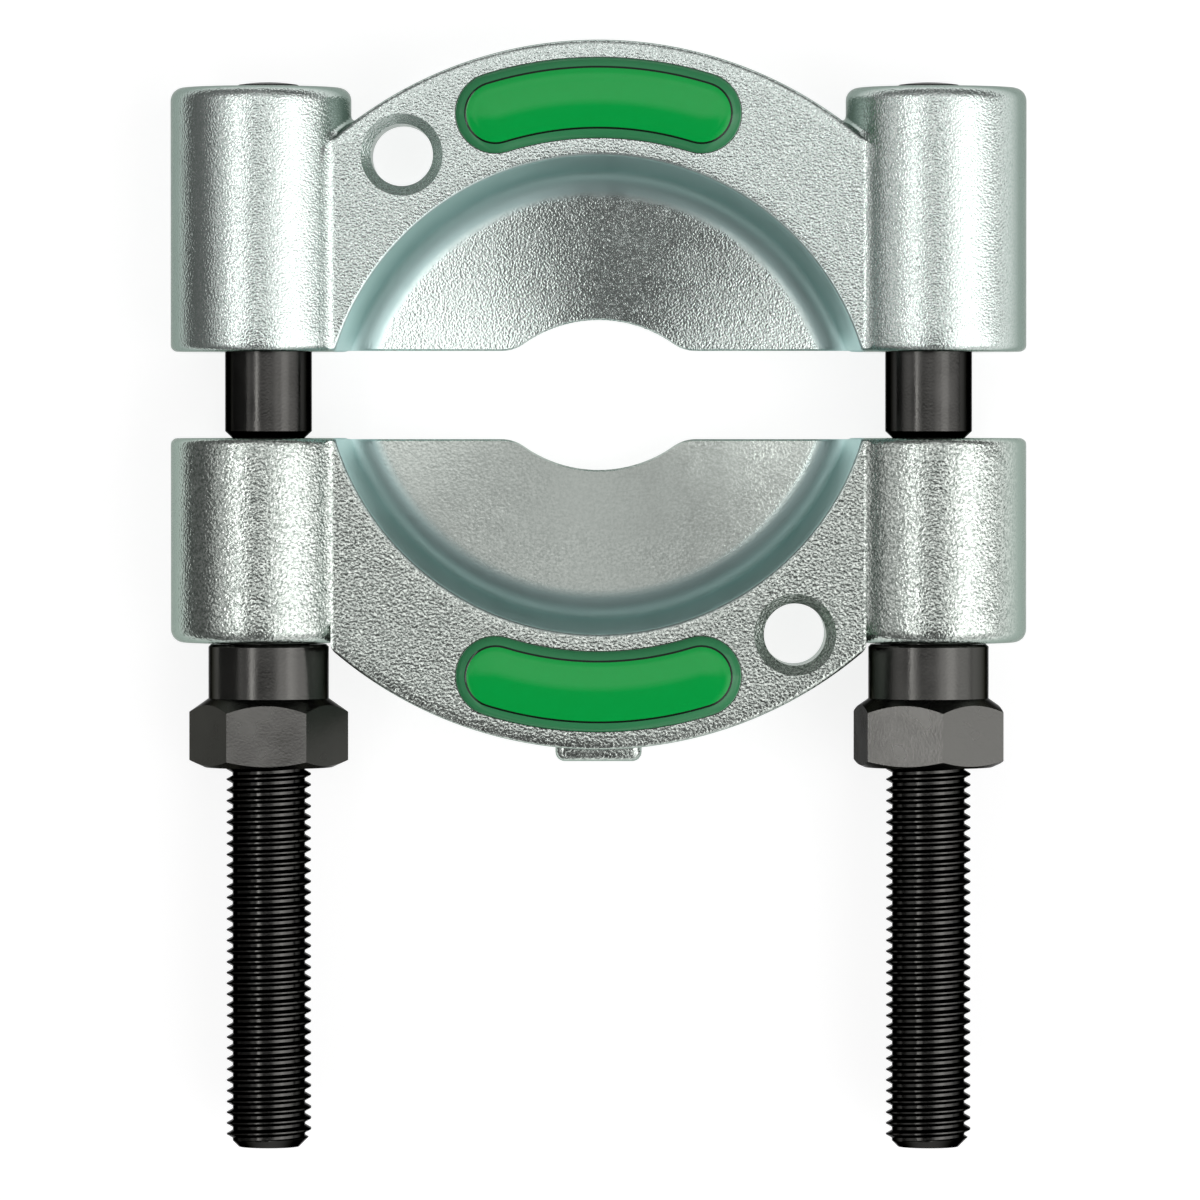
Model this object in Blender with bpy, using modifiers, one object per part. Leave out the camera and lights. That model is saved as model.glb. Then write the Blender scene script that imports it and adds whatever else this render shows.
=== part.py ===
"""Bearing separator: two forged half-ring jaws on two side studs, drawn together by two collar nuts.

It lies on the round backs of its bosses with the dished side up. X runs across the bosses, Y along
the studs and Z upwards. The origin is at the middle of the footprint, on the surface it lies on.

Each jaw is modelled in its own frame and then placed. There x runs across, y points away from the
mating face, z points up, and the origin is on the mating face, midway between the stud axes.
"""

import math

import bmesh
import bpy

MM = 0.001

# Studs
STUD_BESIDE_DISH = 7.985 * MM
SHANK_RADIUS = 5.05 * MM
THREAD_RADIUS = 4.92 * MM
UNDERCUT_RADIUS = 4.2 * MM
UNDERCUT_LENGTH = 1.2 * MM
SHANK_TAPER = 0.8 * MM
SHANK_BELOW_FACE = 9.2 * MM
STUD_BELOW_FACE = 92.4 * MM
STUD_PROUD = 0.65 * MM
STUD_HEAD_CHAMFER = 1.6 * MM
STUD_HEAD_DOME = 0.3 * MM
STUD_TIP_CHAMFER = 1.4 * MM

# Bosses
BOSS_RADIUS = 10.5 * MM
BOSS_OUTWARD_SHIFT = 0.85 * MM
BOSS_EDGE_ROUND = 0.8 * MM
BOSS_END_ROUND = 1.5 * MM
FIXED_BOSS_LENGTH = 30.65 * MM
MOVING_BOSS_LENGTH = 23.75 * MM
BORE_MOUTH_CHAMFER = 0.5 * MM

# Half-ring plate, with its flat land between the dish and the rim
LAND_WIDTH = 13.45 * MM
RIM_CENTRE_BACK = 11.1 * MM
PLATE_THICKNESS = 13.4 * MM
PLATE_EDGE_ROUND = 0.55 * MM
PLATE_FACE_RECESS = 0.15 * MM
SHOULDER_ROUND = 1.5 * MM
BOSS_FILLET = 1.8 * MM
RIM_FILLET = 1.2 * MM
RIM_FILLET_DEPTH = 5.2 * MM

# Dish with the knife edge
DISH_RADIUS = 31.7 * MM
DISH_CENTRE_BACK = 9.1 * MM
DISH_WALL_LEAN = math.radians(14)
DISH_FILLET = 4.6 * MM
DISH_FLOOR_SLOPE = math.radians(12)
DISH_RIM_ROUND = 0.45 * MM
KNIFE_EDGE = 1.0 * MM

# Shaft notch in the knife edge
NOTCH_RADIUS = 15.1 * MM
NOTCH_DEPTH = 3.6 * MM
NOTCH_BLEND = 4.5 * MM

# Puller hole, just outside the middle of the land
PULLER_OUTWARD_SHIFT = 0.35 * MM
PULLER_ANGLE = math.radians(33.9)
PULLER_HOLE_RADIUS = 3.6 * MM
PULLER_SINK_RADIUS = 4.75 * MM

# Pad forged on the moving jaw's rim
PAD_WIDTH = 10.0 * MM
PAD_HEIGHT = 6.0 * MM
PAD_PROUD = 1.5 * MM
PAD_ROUND = 1.1 * MM

# Label and its pocket, along the middle of the land
LABEL_WIDTH = 9.3 * MM
LABEL_HALF_ANGLE = math.radians(17.1)
LABEL_THICKNESS = 1.7 * MM
LABEL_DOME_ROUND = 1.1 * MM
POCKET_DEPTH = 0.5 * MM

# Collar nuts
COLLAR_RADIUS = 7.0 * MM
COLLAR_LENGTH = 6.3 * MM
COLLAR_EDGE_CHAMFER = 0.3 * MM
HEXAGON_FLATS = 16.0 * MM
NUT_LENGTH = 14.3 * MM
NUT_TOP_CHAMFER_LENGTH = 1.7 * MM
NUT_END_CHAMFER_LENGTH = 0.9 * MM
NUT_BORE_CHAMFER = 0.5 * MM
LEFT_NUT_TURN = math.radians(30)
RIGHT_NUT_TURN = math.radians(8.7)

# Rest position and clearances
JAW_GAP = 10.0 * MM
STUD_CLEARANCE = 0.3 * MM
COLLAR_TO_PLATE = 0.4 * MM
NUT_SEAT_GAP = 0.2 * MM
LABEL_SIDE_GAP = 0.25 * MM
LABEL_SEAT_GAP = 0.15 * MM

# Facets
ROUND_SEGMENTS = 48
BORE_SEGMENTS = 32
DISH_SEGMENTS = 96
HOLE_SEGMENTS = 32
ARC_STEP = math.radians(2.5)
CORNER_STEPS = 3
END_STEPS = 12

# Worked out from the sizes above
STUD_X = math.sqrt(DISH_RADIUS**2 - DISH_CENTRE_BACK**2) + STUD_BESIDE_DISH
BOSS_X = STUD_X + BOSS_OUTWARD_SHIFT
PLATE_END_X = BOSS_X - BOSS_RADIUS / 2
HALF_PLATE = PLATE_THICKNESS / 2
BORE_RADIUS = SHANK_RADIUS + STUD_CLEARANCE
NUT_BORE_RADIUS = THREAD_RADIUS + STUD_CLEARANCE
RIM_REACH = DISH_RADIUS - DISH_CENTRE_BACK + LAND_WIDTH
RIM_RADIUS = RIM_REACH + RIM_CENTRE_BACK
LAND_RADIUS = RIM_RADIUS - LAND_WIDTH / 2
AXIS_HEIGHT = BOSS_RADIUS
FIXED_FACE_Y = (STUD_BELOW_FACE - RIM_REACH) / 2
MOVING_FACE_Y = FIXED_FACE_Y - JAW_GAP
TOOL_OVERRUN = 5 * MM
BLEND_OVERLAP = 0.05 * MM
MERGE_DISTANCE = 0.002 * MM
SHARP_ANGLE = math.radians(40)

PARTS = "bearing_separator"
CUTTERS = "cutters"


def clear_scene():
    for obj in list(bpy.data.objects):
        bpy.data.objects.remove(obj, do_unlink=True)
    for name in (PARTS, CUTTERS):
        bpy.context.scene.collection.children.link(bpy.data.collections.new(name))


def add_object(name, mesh, collection, parent=None):
    obj = bpy.data.objects.new(name, mesh)
    bpy.data.collections[collection].objects.link(obj)
    obj.parent = parent
    if collection == CUTTERS:
        obj.hide_render = True
        obj.display_type = "WIRE"
    return obj


def finish_material(name, colour, roughness, metallic):
    material = bpy.data.materials.new(name)
    material.use_nodes = True
    shader = material.node_tree.nodes["Principled BSDF"]
    shader.inputs["Base Color"].default_value = (*colour, 1)
    shader.inputs["Roughness"].default_value = roughness
    shader.inputs["Metallic"].default_value = metallic
    return material


def arc(centre, radius, start, end, steps=None):
    """Points along an arc, both ends included, in the plane's own two coordinates."""
    steps = steps or max(2, math.ceil(abs(end - start) / ARC_STEP))
    points = []
    for i in range(steps + 1):
        angle = start + (end - start) * i / steps
        points.append((centre[0] + radius * math.cos(angle), centre[1] + radius * math.sin(angle)))
    return points


def mirrored(points):
    """A half outline that starts and ends away from x = 0, joined to its mirror image."""
    return points + [(-x, y) for x, y in reversed(points)]


def turned(name, profile, segments, collection, parent=None):
    """A solid turned about the object's Z axis. The profile is (radius, z) from top to bottom."""
    mesh = bpy.data.meshes.new(name)
    points = [(radius, 0, z) for radius, z in profile]
    mesh.from_pydata(points, [(i, i + 1) for i in range(len(points) - 1)], [])
    obj = add_object(name, mesh, collection, parent)
    screw = obj.modifiers.new("turn", "SCREW")
    screw.steps = segments
    screw.render_steps = segments
    screw.use_merge_vertices = True
    screw.merge_threshold = MERGE_DISTANCE
    screw.use_smooth_shade = True
    return obj


def extruded(name, outline, half_height, collection, parent=None):
    """A flat outline in the object's XY plane, made half_height thick to each side of it."""
    curve = bpy.data.curves.new(name, "CURVE")
    curve.dimensions = "2D"
    curve.fill_mode = "BOTH"
    curve.extrude = half_height
    spline = curve.splines.new("POLY")
    spline.points.add(len(outline) - 1)
    for point, (x, y) in zip(spline.points, outline):
        point.co = (x, y, 0, 1)
    spline.use_cyclic_u = True
    guide = add_object(name + "_outline", curve, collection)
    graph = bpy.context.evaluated_depsgraph_get()
    mesh = bpy.data.meshes.new_from_object(guide.evaluated_get(graph))
    bpy.data.objects.remove(guide, do_unlink=True)
    solid = bmesh.new()
    solid.from_mesh(mesh)
    bmesh.ops.remove_doubles(solid, verts=solid.verts, dist=MERGE_DISTANCE)
    bmesh.ops.dissolve_limit(solid, angle_limit=math.radians(0.1), verts=solid.verts, edges=solid.edges)
    bmesh.ops.recalc_face_normals(solid, faces=solid.faces)
    solid.to_mesh(mesh)
    solid.free()
    return add_object(name, mesh, collection, parent)


def mark_edges(mesh, is_chosen):
    """Gives full bevel weight to the sharp level edges whose two ends are both chosen."""
    solid = bmesh.new()
    solid.from_mesh(mesh)
    weight = solid.edges.layers.float.new("bevel_weight_edge")
    for edge in solid.edges:
        start, end = (vertex.co for vertex in edge.verts)
        level = abs(start.z - end.z) < MERGE_DISTANCE
        if level and edge.calc_face_angle(0) > SHARP_ANGLE and is_chosen(start) and is_chosen(end):
            edge[weight] = 1
    solid.to_mesh(mesh)
    solid.free()


def round_edges(obj, width, segments):
    """Rounds the edges that were given weight."""
    bevel = obj.modifiers.new("rounded_edges", "BEVEL")
    bevel.width = width
    bevel.segments = segments
    bevel.limit_method = "WEIGHT"
    bevel.use_clamp_overlap = False


def combine(obj, operation, other):
    """Joins, cuts or intersects. Radii run into the joins at a slant, which the exact solver leaves open."""
    boolean = obj.modifiers.new(f"{operation.lower()}_{other.name}", "BOOLEAN")
    boolean.operation = operation
    boolean.solver = "MANIFOLD" if operation == "UNION" else "EXACT"
    boolean.object = other


def along_y(obj, x=0, y=0):
    """Turns an object's Z axis onto the jaw's y axis."""
    obj.rotation_euler = (-math.pi / 2, 0, 0)
    obj.location = (x, y, 0)


def plate_outline(boss_length):
    """The half ring: a straight mating edge with the notch, and a round rim that runs into the bosses.

    Where the boss is shorter than the rim beside it, the rim stops clear of the nut's collar.
    """
    reach = STUD_X - COLLAR_RADIUS - COLLAR_TO_PLATE
    inside_boss = boss_length - 2 * BOSS_END_ROUND
    rim_beside_boss = math.sqrt(RIM_RADIUS**2 - reach**2) - RIM_CENTRE_BACK
    outline = notch_edge()
    if inside_boss < rim_beside_boss:
        corner_x = reach - SHOULDER_ROUND
        corner_rise = math.sqrt((RIM_RADIUS - SHOULDER_ROUND) ** 2 - corner_x**2)
        rim_start = math.atan2(corner_rise, corner_x)
        corner = (corner_x, corner_rise - RIM_CENTRE_BACK)
        outline += [(PLATE_END_X, inside_boss), (reach, inside_boss)]
        outline += arc(corner, SHOULDER_ROUND, 0, rim_start, CORNER_STEPS)[:-1]
    else:
        rim_start = math.acos(PLATE_END_X / RIM_RADIUS)
    outline += arc((0, -RIM_CENTRE_BACK), RIM_RADIUS, rim_start, math.pi / 2)[:-1]
    return mirrored(outline)


def notch_edge():
    """Half of the mating edge, from the notch's middle outwards.

    The notch is an arc about a point beyond the edge, blended into the straight by a smaller arc.
    """
    edge = PLATE_FACE_RECESS
    notch_centre = edge + NOTCH_DEPTH - NOTCH_RADIUS
    blend_height = edge + NOTCH_BLEND - notch_centre
    blend_x = math.sqrt((NOTCH_RADIUS + NOTCH_BLEND) ** 2 - blend_height**2)
    turn = math.atan2(blend_height, blend_x)
    notch = arc((0, notch_centre), NOTCH_RADIUS, math.pi / 2, turn, END_STEPS)[1:]
    blend = arc((blend_x, edge + NOTCH_BLEND), NOTCH_BLEND, turn - math.pi, -math.pi / 2, 2 * CORNER_STEPS)[1:]
    return notch + blend + [(PLATE_END_X, edge)]


def boss(name, length, jaw, side):
    """One boss as a turned bar, its axis along the stud and its far end rounded more."""
    end_centre = (BOSS_RADIUS - BOSS_END_ROUND, length - BOSS_END_ROUND)
    face_centre = (BOSS_RADIUS - BOSS_EDGE_ROUND, BOSS_EDGE_ROUND)
    top = arc(end_centre, BOSS_END_ROUND, math.pi / 2, 0, CORNER_STEPS)
    bottom = arc(face_centre, BOSS_EDGE_ROUND, 0, -math.pi / 2, CORNER_STEPS)
    bar = turned(name, [(0, length)] + top + bottom + [(0, 0)], ROUND_SEGMENTS, CUTTERS, jaw)
    along_y(bar, side * BOSS_X)
    return bar


def boss_fillets(name, length, jaw, side):
    """The forging radii between a boss and the plate's two faces, as one piece buried in both.

    Each hollow side is an arc that just cuts into the plate's face and into the boss.
    """
    rise = HALF_PLATE - BLEND_OVERLAP + BOSS_FILLET
    run = math.sqrt((BOSS_RADIUS - BLEND_OVERLAP + BOSS_FILLET) ** 2 - rise**2)
    touch = math.atan2(rise, run)
    front = arc((run, rise), BOSS_FILLET, -math.pi / 2, touch - math.pi, CORNER_STEPS)
    back = [(x, -z) for x, z in reversed(front)]
    outline = [(-side * x, z) for x, z in front + back]
    piece = extruded(name, outline, length / 2, CUTTERS, jaw)
    piece.rotation_euler = (math.pi / 2, 0, 0)
    piece.location = (side * BOSS_X, PLATE_FACE_RECESS + BLEND_OVERLAP + length / 2, 0)
    return piece


def rim_fillet(name, jaw, side):
    """The forging radius where the rim's outer wall runs into the side of a boss."""
    inner_side = BOSS_X - BOSS_RADIUS + BLEND_OVERLAP
    run = inner_side - RIM_FILLET
    rise = math.sqrt((RIM_RADIUS - BLEND_OVERLAP + RIM_FILLET) ** 2 - run**2)
    touch = math.atan2(rise, run)
    hollow = arc((run, rise - RIM_CENTRE_BACK), RIM_FILLET, 0, touch - math.pi, 2 * CORNER_STEPS)
    deep = RIM_RADIUS - RIM_FILLET
    in_boss = inner_side + RIM_FILLET
    buried = [
        (deep * math.cos(touch), deep * math.sin(touch) - RIM_CENTRE_BACK),
        (in_boss, math.sqrt(deep**2 - in_boss**2) - RIM_CENTRE_BACK),
        (in_boss, hollow[0][1]),
    ]
    outline = [(side * x, y) for x, y in hollow + buried]
    return extruded(name, outline, RIM_FILLET_DEPTH / 2, CUTTERS, jaw)


def dish_cutter(name, jaw):
    """The turned hollow that the bearing's ring lies in.

    From the top: a rounded rim, a wall that leans in, a fillet, and a floor that falls to the knife edge.
    """
    knife_radius = DISH_CENTRE_BACK + PLATE_FACE_RECESS + NOTCH_DEPTH
    knife_height = KNIFE_EDGE - HALF_PLATE
    fall = math.tan(DISH_FLOOR_SLOPE)
    lean = math.tan(DISH_WALL_LEAN)

    rim_turn = math.pi / 2 - DISH_WALL_LEAN
    rim_centre = (DISH_RADIUS + DISH_RIM_ROUND, HALF_PLATE - DISH_RIM_ROUND)
    rim = arc(rim_centre, DISH_RIM_ROUND, math.pi / 2, math.pi / 2 + rim_turn, CORNER_STEPS)
    wall_top = rim[-1]

    # The fillet's centre is one radius inside the wall line and one radius above the floor line.
    floor_offset = knife_height - knife_radius * fall + DISH_FILLET / math.cos(DISH_FLOOR_SLOPE)
    wall_offset = wall_top[0] - wall_top[1] * lean - DISH_FILLET / math.cos(DISH_WALL_LEAN)
    centre_z = (floor_offset + wall_offset * fall) / (1 - lean * fall)
    centre = (wall_offset + centre_z * lean, centre_z)
    fillet = arc(centre, DISH_FILLET, -DISH_WALL_LEAN, DISH_FLOOR_SLOPE - math.pi / 2, 2 * CORNER_STEPS)

    above = HALF_PLATE + TOOL_OVERRUN
    apex = knife_height - knife_radius * fall
    profile = [(0, above), (rim[0][0], above)] + rim + fillet + [(0, apex)]
    cutter = turned(name, profile, DISH_SEGMENTS, CUTTERS, jaw)
    cutter.location = (0, -DISH_CENTRE_BACK, 0)
    return cutter


def puller_hole_cutter(name, jaw):
    """The hole for a puller's screw, countersunk from both faces."""
    sink_depth = PULLER_SINK_RADIUS - PULLER_HOLE_RADIUS
    half = [
        (0, HALF_PLATE + TOOL_OVERRUN),
        (PULLER_SINK_RADIUS, HALF_PLATE + TOOL_OVERRUN),
        (PULLER_SINK_RADIUS, HALF_PLATE),
        (PULLER_HOLE_RADIUS, HALF_PLATE - sink_depth),
    ]
    profile = half + [(radius, -z) for radius, z in reversed(half)]
    cutter = turned(name, profile, HOLE_SEGMENTS, CUTTERS, jaw)
    from_rim_centre = LAND_RADIUS + PULLER_OUTWARD_SHIFT
    across = from_rim_centre * math.sin(PULLER_ANGLE)
    cutter.location = (-across, from_rim_centre * math.cos(PULLER_ANGLE) - RIM_CENTRE_BACK, 0)
    return cutter


def bore_cutter(name, length, jaw, side):
    """The stud's bore right through a boss, with a small chamfer at each mouth."""
    mouth = BORE_RADIUS + BORE_MOUTH_CHAMFER
    profile = [
        (0, length + TOOL_OVERRUN),
        (mouth, length + TOOL_OVERRUN),
        (mouth, length),
        (BORE_RADIUS, length - BORE_MOUTH_CHAMFER),
        (BORE_RADIUS, BORE_MOUTH_CHAMFER),
        (mouth, 0),
        (mouth, -TOOL_OVERRUN),
        (0, -TOOL_OVERRUN),
    ]
    cutter = turned(name, profile, BORE_SEGMENTS, CUTTERS, jaw)
    along_y(cutter, side * STUD_X)
    return cutter


def label_outline(grow):
    """A slot bent round the rim's centre, with round ends, grown by the given amount all round."""
    centre = (0, -RIM_CENTRE_BACK)
    half_width = LABEL_WIDTH / 2 + grow
    left = math.pi / 2 + LABEL_HALF_ANGLE
    right = math.pi / 2 - LABEL_HALF_ANGLE
    outline = arc(centre, LAND_RADIUS + half_width, right, left)
    for end, start_angle in ((left, left), (right, right + math.pi)):
        end_centre = (LAND_RADIUS * math.cos(end), LAND_RADIUS * math.sin(end) - RIM_CENTRE_BACK)
        outline += arc(end_centre, half_width, start_angle, start_angle + math.pi, END_STEPS)[1:-1]
        if end == left:
            outline += arc(centre, LAND_RADIUS - half_width, left, right)
    return outline


def rim_pad(name, jaw):
    """The low forged pad in the middle of the rim's edge, drawn in the rim's side view."""
    depth = PAD_PROUD + TOOL_OVERRUN
    half_width, half_height = PAD_WIDTH / 2, PAD_HEIGHT / 2
    corner = (half_width - PAD_ROUND, half_height - PAD_ROUND)
    quarter = arc(corner, PAD_ROUND, 0, math.pi / 2, CORNER_STEPS)
    upper_half = quarter + [(-x, z) for x, z in reversed(quarter)]
    pad = extruded(name, upper_half + [(-x, -z) for x, z in upper_half], depth / 2, CUTTERS, jaw)
    pad.rotation_euler = (-math.pi / 2, 0, 0)
    pad.location = (0, RIM_REACH + PAD_PROUD - depth / 2, 0)
    mark_edges(pad.data, lambda point: point.z > 0)
    round_edges(pad, PAD_ROUND, CORNER_STEPS)
    return pad


def make_jaw(name, boss_length, material, with_pad):
    """One forged jaw: rim plate, bosses and fillets joined, then the cuts, in the order they are made."""
    jaw = extruded(name, plate_outline(boss_length), HALF_PLATE, PARTS)
    jaw.data.materials.append(material)
    mark_edges(jaw.data, lambda point: point.y > PLATE_FACE_RECESS + NOTCH_DEPTH + MERGE_DISTANCE)
    round_edges(jaw, PLATE_EDGE_ROUND, 2)
    rim_beside_boss = math.sqrt(RIM_RADIUS**2 - (BOSS_X - BOSS_RADIUS) ** 2) - RIM_CENTRE_BACK
    fillet_length = min(boss_length - BOSS_END_ROUND, rim_beside_boss - 2 * BOSS_FILLET)
    for side, side_name in ((-1, "left"), (1, "right")):
        combine(jaw, "UNION", boss(f"{name}_boss_{side_name}", boss_length, jaw, side))
        combine(jaw, "UNION", boss_fillets(f"{name}_fillets_{side_name}", fillet_length, jaw, side))
        if boss_length > rim_beside_boss + RIM_FILLET:
            combine(jaw, "UNION", rim_fillet(f"{name}_rim_fillet_{side_name}", jaw, side))
    if with_pad:
        combine(jaw, "UNION", rim_pad(name + "_pad", jaw))
    combine(jaw, "DIFFERENCE", dish_cutter(name + "_dish", jaw))
    combine(jaw, "DIFFERENCE", puller_hole_cutter(name + "_puller_hole", jaw))
    pocket = extruded(name + "_label_pocket", label_outline(LABEL_SIDE_GAP), POCKET_DEPTH, CUTTERS, jaw)
    pocket.location = (0, 0, HALF_PLATE)
    combine(jaw, "DIFFERENCE", pocket)
    for side, side_name in ((-1, "left"), (1, "right")):
        combine(jaw, "DIFFERENCE", bore_cutter(f"{name}_bore_{side_name}", boss_length, jaw, side))
    return jaw


def make_label(name, material, jaw):
    """A printed foil with a domed resin face, lying in the jaw's pocket."""
    label = extruded(name, label_outline(0), LABEL_THICKNESS / 2, PARTS, jaw)
    label.data.materials.append(material)
    bottom = HALF_PLATE - POCKET_DEPTH + LABEL_SEAT_GAP
    label.location = (0, 0, bottom + LABEL_THICKNESS / 2)
    mark_edges(label.data, lambda point: point.z > 0)
    round_edges(label, LABEL_DOME_ROUND, 3)
    return label


def make_stud(name, material, side):
    """A side stud, head end up the boss. Its origin is on its axis, level with the fixed jaw's face."""
    head = FIXED_BOSS_LENGTH + STUD_PROUD
    dome_radius = SHANK_RADIUS - STUD_HEAD_CHAMFER
    profile = [
        (0, head),
        (dome_radius / 2, head - STUD_HEAD_DOME / 4),
        (dome_radius, head - STUD_HEAD_DOME),
        (SHANK_RADIUS, head - STUD_HEAD_DOME - STUD_HEAD_CHAMFER),
        (SHANK_RADIUS, -SHANK_BELOW_FACE),
        (UNDERCUT_RADIUS, -SHANK_BELOW_FACE - SHANK_TAPER),
        (UNDERCUT_RADIUS, -SHANK_BELOW_FACE - SHANK_TAPER - UNDERCUT_LENGTH),
        (THREAD_RADIUS, -SHANK_BELOW_FACE - 2 * SHANK_TAPER - UNDERCUT_LENGTH),
        (THREAD_RADIUS, STUD_TIP_CHAMFER - STUD_BELOW_FACE),
        (THREAD_RADIUS - STUD_TIP_CHAMFER, -STUD_BELOW_FACE),
        (0, -STUD_BELOW_FACE),
    ]
    stud = turned(name, profile, BORE_SEGMENTS, PARTS)
    stud.data.materials.append(material)
    along_y(stud, side * STUD_X, FIXED_FACE_Y)
    stud.location.z = AXIS_HEIGHT
    return stud


def make_nut(name, material, side, turn):
    """A collar nut, turned from hexagon bar. Its origin is on the stud's axis, at the collar's end face.

    The turned form is cut by the six flats. Local z points back up the stud, so the nut hangs below 0.
    """
    corner_radius = HEXAGON_FLATS / math.sqrt(3)
    hexagon_start = COLLAR_LENGTH + NUT_TOP_CHAMFER_LENGTH
    over_corner = corner_radius * 1.02
    end_face_radius = corner_radius - 2 * NUT_END_CHAMFER_LENGTH
    profile = [
        (0, 0),
        (COLLAR_RADIUS - COLLAR_EDGE_CHAMFER, 0),
        (COLLAR_RADIUS, -COLLAR_EDGE_CHAMFER),
        (COLLAR_RADIUS, -COLLAR_LENGTH),
        (over_corner, -hexagon_start),
        (over_corner, NUT_END_CHAMFER_LENGTH - NUT_LENGTH),
        (end_face_radius, -NUT_LENGTH),
        (0, -NUT_LENGTH),
    ]
    nut = turned(name, profile, ROUND_SEGMENTS, PARTS)
    nut.data.materials.append(material)
    along_y(nut, side * STUD_X, MOVING_FACE_Y - MOVING_BOSS_LENGTH - NUT_SEAT_GAP)
    nut.location.z = AXIS_HEIGHT

    flats = bmesh.new()
    bmesh.ops.create_cone(
        flats,
        cap_ends=True,
        segments=6,
        radius1=corner_radius,
        radius2=corner_radius,
        depth=NUT_LENGTH + 2 * TOOL_OVERRUN,
    )
    mesh = bpy.data.meshes.new(name + "_flats")
    flats.to_mesh(mesh)
    flats.free()
    hexagon = add_object(name + "_flats", mesh, CUTTERS, nut)
    hexagon.location = (0, 0, -NUT_LENGTH / 2)
    hexagon.rotation_euler = (0, 0, turn)
    combine(nut, "INTERSECT", hexagon)

    mouth = NUT_BORE_RADIUS + NUT_BORE_CHAMFER
    bore_profile = [
        (0, TOOL_OVERRUN),
        (mouth, TOOL_OVERRUN),
        (mouth, 0),
        (NUT_BORE_RADIUS, -NUT_BORE_CHAMFER),
        (NUT_BORE_RADIUS, NUT_BORE_CHAMFER - NUT_LENGTH),
        (mouth, -NUT_LENGTH),
        (mouth, -NUT_LENGTH - TOOL_OVERRUN),
        (0, -NUT_LENGTH - TOOL_OVERRUN),
    ]
    combine(nut, "DIFFERENCE", turned(name + "_bore", bore_profile, BORE_SEGMENTS, CUTTERS, nut))
    return nut


def main():
    clear_scene()
    zinc = finish_material("zinc_plate", (0.62, 0.66, 0.64), 0.35, 1.0)
    black = finish_material("black_oxide", (0.03, 0.03, 0.032), 0.35, 0.8)
    green = finish_material("label_green", (0.0, 0.38, 0.12), 0.1, 0.0)

    fixed = make_jaw("fixed_jaw", FIXED_BOSS_LENGTH, zinc, with_pad=False)
    fixed.location = (0, FIXED_FACE_Y, AXIS_HEIGHT)
    moving = make_jaw("moving_jaw", MOVING_BOSS_LENGTH, zinc, with_pad=True)
    moving.location = (0, MOVING_FACE_Y, AXIS_HEIGHT)
    moving.rotation_euler = (0, 0, math.pi)

    make_label("label_fixed", green, fixed)
    make_label("label_moving", green, moving)
    for side, side_name, turn in ((-1, "left", LEFT_NUT_TURN), (1, "right", RIGHT_NUT_TURN)):
        make_stud(f"stud_{side_name}", black, side)
        make_nut(f"nut_{side_name}", black, side, turn)


main()
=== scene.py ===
import math

import bmesh
import bpy
import numpy as np
from mathutils import Matrix, Vector


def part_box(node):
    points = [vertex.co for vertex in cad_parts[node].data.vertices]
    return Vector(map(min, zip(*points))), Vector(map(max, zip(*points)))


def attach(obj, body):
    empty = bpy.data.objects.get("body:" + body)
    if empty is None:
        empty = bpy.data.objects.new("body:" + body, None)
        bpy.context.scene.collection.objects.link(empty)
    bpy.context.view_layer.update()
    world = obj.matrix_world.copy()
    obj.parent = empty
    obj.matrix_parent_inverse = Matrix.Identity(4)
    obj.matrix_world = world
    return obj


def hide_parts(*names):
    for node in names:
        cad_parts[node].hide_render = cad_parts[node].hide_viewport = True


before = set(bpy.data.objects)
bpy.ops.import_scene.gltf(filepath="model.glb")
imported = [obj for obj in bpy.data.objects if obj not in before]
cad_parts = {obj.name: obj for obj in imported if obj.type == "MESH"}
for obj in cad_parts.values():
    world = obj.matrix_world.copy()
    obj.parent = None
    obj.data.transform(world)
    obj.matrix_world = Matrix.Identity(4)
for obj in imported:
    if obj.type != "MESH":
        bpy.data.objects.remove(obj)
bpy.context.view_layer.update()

# The camera stands about a metre above the part, almost straight over the gap between the jaws, and is
# tipped by a degree towards the studs' free ends. The top of the picture is +Y.

MM = 0.001
CAMERA_PLACE = Vector((1.1 * MM, 20.85 * MM, 1110.5 * MM))
CAMERA_AIM = Vector((0.17 * MM, -0.66 * MM, 10.5 * MM))
VIEW_SPAN = 139.5 * MM
NEAREST_SEEN = 10 * MM

backwards = (CAMERA_PLACE - CAMERA_AIM).normalized()
to_the_right = Vector((0, 1, 0)).cross(backwards).normalized()
upwards = backwards.cross(to_the_right)
camera = bpy.data.objects.new("camera", bpy.data.cameras.new("camera"))
camera.matrix_world = Matrix.Translation(CAMERA_PLACE) @ (
    Matrix((to_the_right, upwards, backwards)).transposed().to_4x4()
)
camera.data.angle = 2 * math.atan(VIEW_SPAN / 2 / (CAMERA_PLACE - CAMERA_AIM).length)
camera.data.clip_start = NEAREST_SEEN
bpy.context.scene.collection.objects.link(camera)
bpy.context.scene.camera = camera

# The two jaws. Each is one drop forging in steel: a half ring with a dished knife edge and two long
# bosses, bored for the studs, with a countersunk puller hole and a shallow pocket for the label.
# The forging is shot blasted, which leaves a fine grain, and then zinc plated.

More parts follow.
